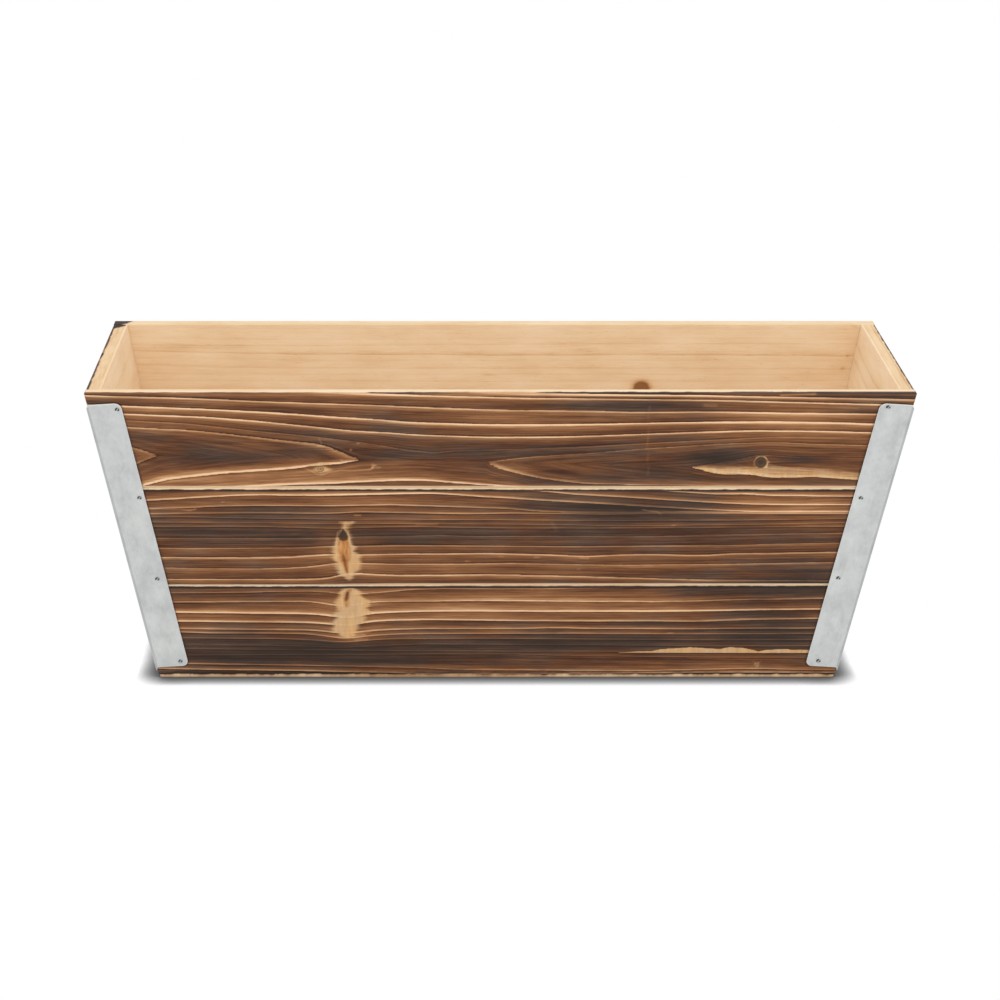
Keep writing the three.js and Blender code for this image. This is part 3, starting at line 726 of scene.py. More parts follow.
def buildPlank(wall, row, seed, material):
    low, high = trough["rows"][row]
    if low > 0:
        low += trough["jointGap"]
    isLong = wall in ("front", "back")
    steps = meshSteps[wall]
    chamfer = plankShape["frontChamfer" if wall == "front" else "chamfer"][row]
    q, h, zones = plankSection(low, high, chamfer, steps)
    normalQ, normalH = sectionNormals(q, h)
    middle = (low + high) / 2
    half = outsideX(middle) if isLong else outsideY(middle) - faceRun - trough["jointGap"]
    stations = alongStations(half, steps["along"], steps.get("finer", {}).get(row, ()))
    u, inset, shrink = roundedEnds(half, stations)
    capCount = len(plankShape["caps"])
    isEnd = shrink < 1
    Q = trough["wall"] / 2 + (q + normalQ * inset - trough["wall"] / 2) * shrink
    H = middle + (h + normalH * inset - middle) * shrink
    U = np.broadcast_to(u, Q.shape)
    reach = U * (outsideX(H) if isLong else outsideY(H) - faceRun - trough["jointGap"])
    drop = trough["height"] - H
    along, drops, field = plankField(wall, row, seed)
    sampled = {name: sampleField(along, drops, grid, reach, drop) for name, grid in field.items()}
    onFace = np.isin(zones, (0,)) * ease((high - chamfer - h) / 0.6) * ease((h - low - 0.3) / 0.8)
    bevel = burnMasks(wall, row, zones, Q, H, reach, low, high, chamfer, seed)
    sampled["bare"] = bevel["bare"]
    sampled["cloud"] = sampled["cloud"] + bevel["cloud"]
    Q = Q + sampled["recess"] * onFace * (1 - isEnd) + bevel["recess"]
    points = placeOnWall(wall, U, Q, H)
    centre = placeOnWall(wall, np.array([-1.0, 1.0]), np.full(2, trough["wall"] / 2), np.full(2, middle))
    if isLong:
        points = planeCorners(points, wall)
    rings, sides = Q.shape
    points = np.concatenate([points.reshape(-1, 3), centre])
    quads, triangles = tubeFaces(rings, sides)
    quads, triangles = closeWinding(points, quads, triangles)
    piece = makeMesh(f"{wall}_{row}_plank_wood", points, quads, triangles)

    def spread(values, ends=0.0):
        return np.concatenate([np.broadcast_to(values, Q.shape).ravel(), np.broadcast_to(ends, (2,))])

    ringBare, late, mark = bareRings(wall, row, seed, reach, H, Q, zones)
    # a painted shadow along the strap edges, joined to the charcoal of the knots in the third number of burn
    shadow = strapShadow(points[:-2].reshape(*Q.shape, 3), wall, zones)
    sampled["charAndShadow"] = np.maximum(sampled["charAndShadow"], shadow)
    grain = np.random.default_rng(seed + 40).uniform(0, 500, 3)
    addVector(piece, "figure", spread(sampled["ring"]), spread(sampled["width"], 3.0),
              spread(sampled["glow"], 0.3))
    addVector(piece, "burn", spread(sampled["cloud"], 0.3), spread(sampled["bare"]),
              spread(sampled["charAndShadow"]))
    addVector(piece, "knots", spread(sampled["flesh"]), spread(sampled["heart"]), spread(sampled["thread"]))
    addVector(piece, "planed", spread(ringBare, ringBare[0].mean()), spread(bevel["shade"] + mark),
              spread(late, 0.5))
    ends = np.array([-half, half])
    addVector(piece, "grain", spread(reach, ends) + grain[0], spread(H, middle) + grain[1],
              spread(Q, trough["wall"] / 2) + grain[2])
    perimeter = np.concatenate([[0], np.cumsum(np.hypot(np.diff(q), np.diff(h)))])
    perimeter = perimeter / (perimeter[-1] + math.hypot(q[0] - q[-1], h[0] - h[-1]))
    across = np.clip((stations + half) / (2 * half), 0, 1) * plankShape["bodyShare"]
    across = np.concatenate([np.zeros(capCount), across, np.full(capCount, plankShape["bodyShare"])])
    capAcross = np.where(U < 0, 0.965, 0.985) + 0.012 * Q / trough["wall"]
    isCap = np.concatenate([np.repeat((np.arange(rings - 1) < capCount)
                                      | (np.arange(rings - 1) >= rings - 1 - capCount), sides),
                            np.ones(2 * sides, bool)])
    layBake(piece, spread(across[:, None]), spread(perimeter), spread(capAcross, [0.971, 0.991]),
            spread((H - low) / (high - low), 0.5), isCap)
    dress(piece, material, "torched_softwood", f"{wall}_{row}_plank")
    return piece


def strapShadow(points, wall, zones):
    # a painted shadow: a darker line on the wood along the edges of the straps, put into the charcoal channel
    shade = np.zeros(points.shape[:2])
    isLong = wall in ("front", "back")
    for hand in (-1, 1):
        side, face = (hand, -1 if wall == "front" else 1) if isLong else (-1 if wall == "left" else 1, hand)
        corner = cornerOf(side, face)
        leaf = corner["leaves"]["face" if isLong else "end"]
        rel = points - corner["foldCentre"]
        run, height = rel @ leaf["along"], rel @ corner["up"]
        shift = run * leaf["rise"] - leaf["drop"]
        radius = strapShape["cornerRadius"]
        middle = (corner["low"] + corner["high"]) / 2 + shift
        halfHeight = (corner["high"] - corner["low"]) / 2
        past = np.stack([run - leafRun, np.abs(height - middle) - halfHeight]) + radius
        outside = np.hypot(*np.clip(past, 0, None)) + np.minimum(past.max(0), 0) - radius
        shade = np.maximum(shade, np.exp(-((outside - 0.1) / 0.75) ** 2) * (run > -4))
    return plankShape["strapShade"] * shade * np.isin(zones, (0, 1, 5))


def bareRings(wall, row, seed, x, h, q, zones):
    # growth lines of the unburnt faces, which carry on through the thickness; how dark each is; and marks
    rng = np.random.default_rng(seed + 60)
    low, high = trough["rows"][row]
    if wall == "back" and row == "top":
        heights = np.arange(low - 4, high + 5, 0.25)
        along = np.arange(-figureGrid["reach"], figureGrid["reach"] + 0.01, 2.0)
        places = np.array([np.interp(along, *np.array(line[2]).T) for line in insideFigure])
        numbers = np.array([line[0] for line in insideFigure], float)
        darks = np.array([line[1] for line in insideFigure])
        rings = np.stack([np.interp(heights, places[::-1, i], numbers[::-1]) for i in range(len(along))])
        late = np.stack([np.interp(heights, places[::-1, i], darks[::-1]) for i in range(len(along))])
        drawn = h + swell(x / 30, h / 9, seed + 62, 0.5)
        mark = sum(strength * np.exp(-((x - middle) / wide) ** 2 - ((h - height) / tall) ** 2)
                   for middle, height, wide, tall, strength in insideMarks)
        rings = sampleField(along, heights, rings, x, drawn)
        return rings, sampleField(along, heights, late, x, drawn), mark * (zones == 3)
    pith = rng.uniform(low, high) + swell(x / 150, x * 0 + 5, seed + 61, 8)
    depth = rng.uniform(16, 30) + rng.uniform(-0.02, 0.02) * x
    wobble = swell(x / 30, h / 9, seed + 62, 1.2)
    ring = np.hypot(h - pith + wobble, depth + q) / rng.uniform(4.5, 7)
    table = rng.uniform(0.2, 1.1, 32)
    return ring, table[np.floor(ring).astype(int) % 32], 0 * ring


# How far in millimetres the burn reaches over the rim, and farther from a place on: (start, over, more)
torch = {
    "rimReach": {"front": 3.9, "back": 0.7, "left": 2.1, "right": 1.7},
    "rimShade": {"front": 0.1, "back": 0.5, "left": 0.75, "right": 0.6},
    "frontFarther": [(-140, 120, 0.9), (150, 120, 0.8)],
    "leftFarther": (75, 15, 9),
    "backFarther": (289, 8, 11),
    "burntEnd": -297,
    "seamCloud": 0.9,
    "seamShade": 0.3,
    "tornHeight": 2.5,
    "tornShade": 0.68,
    "tornCloud": 0.5,
}


def farther(x, start, over, more):
    return more * ease((x - start) / over)


def burnMasks(wall, row, zones, q, h, x, low, high, chamfer, seed):
    # where the torched skin ends: the planed chamfer, the rim, the inside, the underside and the torn edge
    ragged = swell(x / 6, q * 0, seed + 21, 1) + swell(x / 1.7, q * 0, seed + 22, 0.5)
    bare = np.broadcast_to(np.isin(zones, (2, 3, 4)).astype(float), q.shape).copy()
    recess = np.zeros_like(q)
    cloud = np.zeros_like(q)
    # painted shade on the inside faces; on the back wall it grows towards the rim
    inside = np.clip(0.04 + 0.2 * (h - 150) / 86, 0.0, 0.24) if wall == "back" else 0.1 + 0 * h
    shade = np.where(zones == 3, inside, 0.0)
    slope = np.broadcast_to(zones == 1, q.shape)
    upper = np.isin(zones, (1, 2))
    isEnd = np.abs(x) > outsideX(h) - 0.4
    if row == "top":
        edge = torch["rimReach"][wall] + 0.8 * ragged
        if wall == "left":
            edge = edge + farther(x, *torch["leftFarther"])
        if wall == "front":
            edge = edge + sum(farther(x, *place) for place in torch["frontFarther"])
        if wall == "back":
            edge = edge + farther(-x, *torch["backFarther"])
            bare = np.where((x < torch["burntEnd"]) & (h > high - 0.6) & (q > 9), 0.0, bare)
        bare = np.where(upper, ease((q - edge) / 0.6 + 0.5), bare)
        cloud += (-0.12 if wall == "front" else 0.25) * ease((h - high + chamfer + 0.6) / 0.8) * (1 - bare)
        if wall == "front":
            scorch = 0.3 * ease((q - 0.6) / 0.6) * (1 - bare) * ease((x + 230) / 60 + 0.3)
            cloud += np.where(upper, scorch, 0.0)
        if wall == "left":
            cloud += farther(x, 70, 12, 0.7) * (1 - bare) * upper
        shade += np.where(upper, torch["rimShade"][wall], 0.0)
    else:
        start = 0.34 if row == "middle" else 0.25 + farther(x, -150, 150, 0.4)
        start = start * (wall == "front") + 0.25 * ragged
        bare = np.where(slope, ease((h - high + chamfer - start) / 0.35), bare)
        cloud += torch["seamCloud"] * np.exp(-((high - chamfer - 0.3 - h) / 0.75) ** 2) * (q < 1)
        # painted shade in the crease at the top of the chamfer, under the plank above
        shaded = 0.35 * chamfer
        shade += np.where(slope, torch["seamShade"] * ease((h - high + shaded) / shaded), 0)
    if row != "bottom" and wall == "front":
        bare = np.where(zones == 5, 0.85 if row == "top" else ease((x + 150) / 100), bare)
    if row == "bottom":
        torn = torch["tornHeight"] + ragged
        strip = ease((torn - (h - low)) / 0.6 + 0.5) * ease((h - low - 0.55) / 0.5) * (q < 3)
        bare = np.where((h < low + 8) & (q < 1.5), strip * (0.7 + 0.4 * ragged), bare)
        shade += (torch["tornShade"] + 0.5 * np.exp(-((x + 55) / 70) ** 2)) * strip
        cloud += torch["tornCloud"] * np.exp(-((h - low - torn - 1.0) / 1.3) ** 2) * (q < 1)
        recess += 0.35 * strip * (0.5 + ragged) * (zones == 0)
    bare = np.where(isEnd & (q < 10.5), 0.0, bare) if wall in ("front", "back") else bare
    return {"bare": bare, "cloud": cloud, "recess": recess, "shade": shade}


floorShape = {"raise": 6.0, "thickness": 11.0, "slit": 6.0, "arris": 0.8}


def buildFloorBoard(face, material):
    low = floorShape["raise"]
    high = low + floorShape["thickness"]
    gap, slit = trough["jointGap"], floorShape["slit"] / 2

    def reachY(z):
        return outsideY(z) - faceRun - gap

    def reachX(z):
        return outsideX(z) - endRun - gap

    middle = (low + high) / 2
    width = reachY(middle) - slit
    a = floorShape["arris"]
    runs = [arcPoints(a, low + a, a, 270, 180, 4), straightRun((0, low + a), (0, high - a), 1.5),
            arcPoints(a, high - a, a, 180, 90, 4), straightRun((a, high), (width - a, high), 1.5),
            arcPoints(width - a, high - a, a, 90, 0, 4),
            straightRun((width, high - a), (width, low + a), 1.5),
            arcPoints(width - a, low + a, a, 0, -90, 4), straightRun((width - a, low), (a, low), 2.5)]
    section = np.concatenate(runs)
    q, h = section[:, 0], section[:, 1]
    normalQ, normalH = sectionNormals(q, h)
    half = reachX(middle)
    stations = alongStations(half, 2.5)
    u, inset, shrink = roundedEnds(half, stations)
    Q = width / 2 + (q + normalQ * inset - width / 2) * shrink
    H = middle + (h + normalH * inset - middle) * shrink
    x = u * reachX(H)
    y = face * (slit + (reachY(H) - slit) * (1 - Q / width))
    points = np.stack([x, y, H], -1).reshape(-1, 3)
    centre = [[end, face * (slit + width / 2), middle] for end in (-half, half)]
    points = np.concatenate([points, centre])
    rings, sides = Q.shape
    quads, triangles = tubeFaces(rings, sides)
    quads, triangles = closeWinding(points, quads, triangles)
    side = "front" if face < 0 else "back"
    piece = makeMesh(f"{side}_floor_board_wood", points, quads, triangles)
    wander = swell(points[:, 0] / 140, points[:, 0] * 0, 90 + face, 8)
    ring = np.hypot(points[:, 1] - face * 30 + wander, 24 + points[:, 2]) / 6.2
    zero = np.zeros(len(points))
    addVector(piece, "planed", ring, zero + 0.3, zero + 0.7)
    addVector(piece, "grain", points[:, 0] + 900 * face, points[:, 1], points[:, 2])
    dress(piece, material, "bare_pine", f"{side}_floor_board")


strapShape = {
    "leaf": 26.0, "sheet": 0.8, "gap": 0.3, "foldRadius": 1.8, "topInset": 8.8, "bottomInset": 9.0,
    "endDrop": 3.5, "tilt": math.radians(3.6), "cornerRadius": 4.8, "edgeEase": 0.3,
    "columnStep": 0.8, "rowStep": 0.9, "foldSteps": 9, "dimple": 0.3, "dimpleReach": 2.9, "wave": 0.12,
}
nailShape = {"perLeaf": 4, "sideInset": 6.2, "endInset": 4.7, "shank": 0.8, "head": 1.6, "headHeight": 0.7,
             "sink": 0.42, "sides": 28}
floorNailShape = {"length": 25.0, "shank": 0.9, "head": 2.0, "headHeight": 0.8, "margin": 11.0}
leafRun = strapShape["leaf"] - strapShape["foldRadius"] - strapShape["sheet"]


def unit(vector):
    return vector / np.linalg.norm(vector)


def angleBetween(a, b):
    return math.acos(np.clip(unit(a) @ unit(b), -1, 1))


def cornerOf(side, face):
    # the two wall planes, the line they meet on and the middle of the fold
    faceNormal = np.array([0, face * math.cos(trough["faceLean"]), -math.sin(trough["faceLean"])])
    endNormal = np.array([side * math.cos(trough["endLean"]), 0, -math.sin(trough["endLean"])])
    up = unit(np.array([side * endSlope, face * faceSlope, 1]))
    alongFace = np.cross(up, faceNormal) * side * face
    alongEnd = np.cross(up, endNormal) * -side * face
    inset = (strapShape["gap"] - strapShape["foldRadius"]) / (1 + faceNormal @ endNormal)
    foldCentre = np.array([side * outsideX(0), face * outsideY(0), 0]) + inset * (faceNormal + endNormal)
    turn = angleBetween(faceNormal, endNormal)
    faceTurn = angleBetween(alongFace, np.array([-side, 0, 0]))
    endTurn = angleBetween(alongEnd, np.array([0, -face, 0]))
    return {
        "side": side, "face": face, "up": up, "foldCentre": foldCentre, "turn": turn,
        "middle": unit(faceNormal + endNormal),
        "planed": (strapShape["foldRadius"] - strapShape["gap"]) * math.cos(turn / 2),
        "low": strapShape["bottomInset"] / up[2],
        "high": (trough["height"] - strapShape["topInset"]) / up[2],
        "leaves": {
            "face": {"normal": faceNormal, "along": alongFace, "drop": 0.0,
                     "rise": math.tan(strapShape["tilt"] - faceTurn)},
            "end": {"normal": endNormal, "along": alongEnd, "drop": strapShape["endDrop"],
                    "rise": math.tan(strapShape["tilt"] - endTurn)},
        },
    }


# How far the nails of the front face leaves were driven off their marks: (inwards, up), from the lowest nail,
# on the left (-1) and the right (1)
nailDrift = {
    -1: [(0.6, -0.6), (-0.6, 0.4), (2.0, -2.3), (2.6, -0.9)],
    1: [(-2.8, 0.4), (0.2, 1.1), (0.6, -2.2), (-0.2, 1.7)],
}


def nailPlaces(corner, leafName):
    # run from the fold and height along it, for each nail
    leaf = corner["leaves"][leafName]
    run = leafRun - nailShape["sideInset"]
    shift = run * leaf["rise"] - leaf["drop"]
    low = corner["low"] + shift + nailShape["endInset"]
    high = corner["high"] + shift - nailShape["endInset"]
    heights = np.linspace(low, high, nailShape["perLeaf"])
    if corner["face"] < 0 and leafName == "face":
        drift = nailDrift[corner["side"]]
    else:
        rng = np.random.default_rng(7 + corner["side"] + 3 * corner["face"])
        drift = rng.normal(0, 0.6, (len(heights), 2))
    return [(run + inwards, height + up) for height, (inwards, up) in zip(heights, drift)]


def strapColumns(corner, inset):
    # cross lines from the free edge of the end leaf, round the fold, to that of the face leaf, drawn in there
    reach = leafRun - inset
    radius = strapShape["cornerRadius"]
    turn = np.radians(np.linspace(0, 90, 9))
    flat = np.linspace(0, reach - radius, int((leafRun - radius) / strapShape["columnStep"]) + 1)[:-1]
    runs = np.concatenate([flat, reach - radius * (1 - np.sin(turn))])
    trims = np.concatenate([flat * 0, radius * (1 - np.cos(turn))])
    columns = []
    for leafName, backwards in (("end", True), ("face", False)):
        leaf = corner["leaves"][leafName]
        made = []
        for run, trim in zip(runs, trims):
            shift = run * leaf["rise"] - leaf["drop"]
            made.append({"normal": leaf["normal"], "offset": leaf["along"] * run, "shift": shift,
                         "trim": trim, "run": run, "leaf": leafName})
        columns += made[::-1] if backwards else made
        if backwards:
            face, end = corner["leaves"]["face"], leaf
            for step in range(1, strapShape["foldSteps"]):
                share = step / strapShape["foldSteps"]
                normal = end["normal"] * math.sin((1 - share) * corner["turn"])
                normal = unit(normal + face["normal"] * math.sin(share * corner["turn"]))
                columns.append({"normal": normal, "offset": np.zeros(3), "trim": 0.0, "run": -1.0,
                                "shift": -end["drop"] * (1 - share), "leaf": "fold"})
    return columns


def strapSurface(corner, radius, inset, rows, seed):
    # rows of points up each cross line, at a radius from the fold's middle
    columns = strapColumns(corner, inset)
    share = np.linspace(0, 1, rows)
    points = np.empty((len(columns), rows, 3))
    nails = {name: nailPlaces(corner, name) for name in corner["leaves"]}
    for i, column in enumerate(columns):
        low = corner["low"] + column["shift"] + column["trim"] + inset
        high = corner["high"] + column["shift"] - column["trim"] - inset
        height = low + (high - low) * share
        out = np.full(rows, radius)
        if column["leaf"] != "fold":
            for run, seat in nails[column["leaf"]]:
                away = np.hypot(height - seat, column["run"] - run)
                out -= strapShape["dimple"] * np.exp(-(away / strapShape["dimpleReach"]) ** 2)
            wave = cloudNoise(height / 24, np.full(rows, column["run"] / 9), seed) - 0.5
            out += strapShape["wave"] * wave * min(1, column["run"] / 4)
        points[i] = (corner["foldCentre"] + column["offset"] + out[:, None] * column["normal"]
                     + height[:, None] * corner["up"])
    return points


def buildStrap(name, corner, material, seed):
    inner, outer = strapShape["foldRadius"], strapShape["foldRadius"] + strapShape["sheet"]
    soft = strapShape["edgeEase"]
    rows = int((corner["high"] - corner["low"]) / strapShape["rowStep"])
    layers = [(outer, soft), (outer - 0.06, soft * 0.35), (outer - 0.3, 0.0), (inner + 0.3, 0.0),
              (inner + 0.06, soft * 0.35), (inner, soft)]
    grids = [strapSurface(corner, radius, inset, rows, seed) for radius, inset in layers]
    count = len(grids[0])
    i, j = np.meshgrid(np.arange(count - 1), np.arange(rows - 1), indexing="ij")
    here, ahead = i * rows + j, (i + 1) * rows + j
    sheet = np.stack([here, ahead, ahead + 1, here + 1], -1).reshape(-1, 4)
    index = np.arange(count * rows).reshape(count, rows)
    rim = np.concatenate([index[:, 0], index[-1, 1:], index[-2::-1, -1], index[0, -2:0:-1]])
    points = [grids[0].reshape(-1, 3), grids[-1].reshape(-1, 3)]
    quads = [sheet, sheet[:, ::-1] + count * rows]
    loops = [rim]
    start = 2 * count * rows
    for grid in grids[1:-1]:
        points.append(grid.reshape(-1, 3)[rim])
        loops.append(start + np.arange(len(rim)))
        start += len(rim)
    loops.append(rim + count * rows)
    for near, far in zip(loops, loops[1:]):
        quads.append(np.stack([near, far, np.roll(far, -1), np.roll(near, -1)], -1))
    points, quads = np.concatenate(points), np.concatenate(quads)
    quads, triangles = closeWinding(points, quads, np.zeros((0, 3), np.int32))
    piece = makeMesh(f"{name}_strap_sheet", points, quads, triangles, 50.0)
    across = np.concatenate([np.repeat(np.arange(count) * strapShape["columnStep"], rows)] * 2)
    up = np.concatenate([(grids[0] @ corner["up"]).ravel()] * 2)
    # the fold's columns are marked -1 for a painted shade on the fold, the cut edges 1 for a painted
    # highlight
    foldShadeMark = np.array([-1.0 if column["leaf"] == "fold" else 0.0 for column in strapColumns(corner, soft)])
    extra = len(points) - len(across)
    across = np.concatenate([across, np.full(extra, -40.0)])
    up = np.concatenate([up, points[len(up):] @ corner["up"]])
    edge = np.concatenate([np.repeat(foldShadeMark, rows)] * 2 + [np.zeros(extra)])
    edge[rim] = 1.0
    edge[-extra:] = 1.0
    addVector(piece, "sheet", across, up + 300 * seed, edge)
    dress(piece, material, "galvanised_sheet", f"{name}_strap")


def buildNail(name, node, seat, normal, shape, material):
    # a round wire nail, its underside at the seat and its point in the wood
    shank, head, height, length = shape["shank"], shape["head"], shape["headHeight"], shape["length"]
    profile = [(0, -length), (shank, -length + 2 * shank), (shank, -1.2), (shank, -0.15), (shank + 0.12, 0),
               (head - 0.12, 0), (head, 0.1), (head, 0.22), (head - 0.05, 0.3 * height + 0.12)]
    turn = np.radians(np.linspace(12, 90, 7))
    brow = 0.3 * height + 0.12
    profile += [(head * math.cos(t) * 0.98, brow + (0.7 * height - 0.12) * math.sin(t)) for t in turn]
    sides = nailShape["sides"]
    angles = 2 * np.pi * np.arange(sides) / sides
    side = unit(np.cross(normal, [0.3, 0.2, 1.0]))
    other = np.cross(normal, side)
    ring = np.cos(angles)[:, None] * side + np.sin(angles)[:, None] * other
    inner = [p for p in profile if p[0] > 1e-6]
    points = np.concatenate([seat + r * ring + z * normal for r, z in inner]
                            + [[seat + profile[0][1] * normal], [seat + profile[-1][1] * normal]])
    quads, triangles = tubeFaces(len(inner), sides)
    quads, triangles = closeWinding(points, quads, triangles)
    piece = makeMesh(name, points, quads, triangles, 35.0)
    # places across and up the head, which place its painted shade and glint
    upward = unit(np.array([0, 0, 1.0]) - normal[2] * normal)
    away = (points - seat) / head
    addVector(piece, "head", away @ np.cross(upward, normal), away @ upward, (points - seat) @ normal)
    dress(piece, material, "wire_nail", node)


def buildCorner(side, face, sheetMaterial, wireMaterial):
    corner = cornerOf(side, face)
    name = f"{'front' if face < 0 else 'back'}_{'left' if side < 0 else 'right'}"
    seed = 3 + side + 2 * (face + 1)
    buildStrap(name, corner, sheetMaterial, seed)
    outer = strapShape["foldRadius"] + strapShape["sheet"]
    length = strapShape["sheet"] + strapShape["gap"] + trough["wall"] - 2.0
    shape = dict(nailShape, length=length)
    for leafName, leaf in corner["leaves"].items():
        for i, (run, height) in enumerate(nailPlaces(corner, leafName)):
            lean = np.random.default_rng(seed * 40 + i + 9 * len(leafName)).normal(0, 0.05, 3)
            normal = unit(leaf["normal"] + lean)
            seat = (corner["foldCentre"] + run * leaf["along"] + height * corner["up"]
                    + (outer + 0.3 - nailShape["sink"]) * leaf["normal"])
            node = f"{name}_strap_{leafName}_nail_{i + 1}"
            buildNail(f"{node}_wire", node, seat, normal, shape, wireMaterial)


def buildFloorNails(side, material):
    normal = np.array([side * math.cos(trough["endLean"]), 0, -math.sin(trough["endLean"])])
    into = floorNailShape["length"] - trough["wall"]
    height = (floorShape["raise"] + floorShape["thickness"] / 2
              - (trough["wall"] + into / 2) * math.sin(trough["endLean"]))
    outer = outsideY(height) - strapShape["leaf"] - floorNailShape["margin"]
    inner = floorShape["slit"] / 2 + floorNailShape["margin"]
    for i, y in enumerate((-outer, -inner, inner, outer)):
        node = f"{'left' if side < 0 else 'right'}_floor_nail_{i + 1}"
        seat = np.array([side * outsideX(height), y, height]) - 0.25 * normal
        buildNail(f"{node}_wire", node, seat, normal, floorNailShape, material)


def srgb(r, g, b):
    # a colour measured from 0 to 255, as the shaders want it
    channels = np.array([r, g, b]) / 255
    linear = np.where(channels <= 0.04045, channels / 12.92, ((channels + 0.055) / 1.055) ** 2.4)
    return (*(float(c) for c in linear), 1.0)


def feed(tree, socket, value):
    if isinstance(value, bpy.types.NodeSocket):
        tree.links.new(value, socket)
    else:
        socket.default_value = value


def addNode(tree, kind, sockets, **settings):
    node = tree.nodes.new("ShaderNode" + kind)
    for name, value in settings.items():
        setattr(node, name, value)
    for name, value in sockets.items():
        feed(tree, node.inputs[name], value)
    return node


def calc(tree, operation, *values, clamp=False):
    node = tree.nodes.new("ShaderNodeMath")
    node.operation = operation
    node.use_clamp = clamp
    for socket, value in zip(node.inputs, values):
        feed(tree, socket, value)
    return node.outputs[0]


def soften(tree, value, low, high, start=0.0, stop=1.0):
    sockets = {"Value": value, "From Min": low, "From Max": high, "To Min": start, "To Max": stop}
    return addNode(tree, "MapRange", sockets, interpolation_type="SMOOTHSTEP").outputs[0]


def rescale(tree, value, low, high, start=0.0, stop=1.0):
    sockets = {"Value": value, "From Min": low, "From Max": high, "To Min": start, "To Max": stop}
    return addNode(tree, "MapRange", sockets).outputs[0]


def blend(tree, factor, first, second, kind="MIX"):
    node = tree.nodes.new("ShaderNodeMix")
    node.data_type = "RGBA"
    node.blend_type = kind
    for index, value in ((0, factor), (6, first), (7, second)):
        feed(tree, node.inputs[index], value)
    return node.outputs[2]


def colourRamp(tree, value, stops):
    node = tree.nodes.new("ShaderNodeValToRGB")
    elements = node.color_ramp.elements
    while len(elements) < len(stops):
        elements.new(0.5)
    for element, (place, colour) in zip(elements, stops):
        element.position = place
        element.color = srgb(*colour)
    feed(tree, node.inputs[0], value)
    return node.outputs[0]


def stretched(tree, vector, stretch, detail=2.0, roughness=0.5):
    # noise drawn out along the grain; the vector is in millimetres
    scaled = addNode(tree, "VectorMath", {0: vector, 1: stretch}, operation="MULTIPLY").outputs[0]
    sockets = {"Vector": scaled, "Scale": 1.0, "Detail": detail, "Roughness": roughness}
    return addNode(tree, "TexNoise", sockets).outputs[0]


def attribute(tree, name):
    return addNode(tree, "Attribute", {}, attribute_name=name).outputs["Vector"]


def parts(tree, vector):
    return addNode(tree, "SeparateXYZ", {"Vector": vector}).outputs


def newGroup(name, inputs, outputs):
    tree = bpy.data.node_groups.new(name, "ShaderNodeTree")
    for label, kind in inputs.items():
        tree.interface.new_socket(name=label, in_out="INPUT", socket_type="NodeSocket" + kind)
    for label, kind in outputs.items():
        tree.interface.new_socket(name=label, in_out="OUTPUT", socket_type="NodeSocket" + kind)
    return tree, tree.nodes.new("NodeGroupInput").outputs, tree.nodes.new("NodeGroupOutput").inputs


def useGroup(tree, group, sockets):
    node = tree.nodes.new("ShaderNodeGroup")
    node.node_tree = group
    for name, value in sockets.items():
        feed(tree, node.inputs[name], value)
    return node.outputs


def makeGrainFibres():
    tree, given, made = newGroup("GrainFibres", {"Grain": "Vector", "Ring": "Float"},
                                 {"Fibre": "Float", "Coarse": "Float", "Patch": "Float", "Speck": "Float",
                                  "Streak": "Float"})
    fine = stretched(tree, given["Grain"], (0.06, 2.4, 2.4), 4.0, 0.7)
    coarse = stretched(tree, given["Grain"], (0.012, 0.42, 0.42), 3.0, 0.6)
    patch = stretched(tree, given["Grain"], (0.02, 0.07, 0.07), 3.0, 0.55)
    speck = stretched(tree, given["Grain"], (0.16, 1.3, 1.3), 2.0, 0.5)
    along = addNode(tree, "VectorMath", {0: given["Grain"], 1: (0.009, 0.0, 0.0)}, operation="MULTIPLY")
    along = along.outputs[0]
    across = addNode(tree, "CombineXYZ", {"Y": calc(tree, "MULTIPLY", given["Ring"], 7.0)}).outputs[0]
    follow = addNode(tree, "VectorMath", {0: along, 1: across}, operation="ADD").outputs[0]
    streak = addNode(tree, "TexNoise", {"Vector": follow, "Scale": 1.0, "Detail": 4.0, "Roughness": 0.65})
    streak = streak.outputs[0]
    feed(tree, made["Fibre"], rescale(tree, fine, 0.3, 0.7))
    feed(tree, made["Coarse"], rescale(tree, coarse, 0.28, 0.72))
    feed(tree, made["Patch"], rescale(tree, patch, 0.3, 0.7))
    feed(tree, made["Speck"], soften(tree, speck, 0.64, 0.74))
    feed(tree, made["Streak"], rescale(tree, streak, 0.3, 0.7))
    return tree


def swing(tree, value, reach, base):
    # base plus a value that swings about one half
    return calc(tree, "MULTIPLY_ADD", calc(tree, "SUBTRACT", value, 0.5), reach, base)


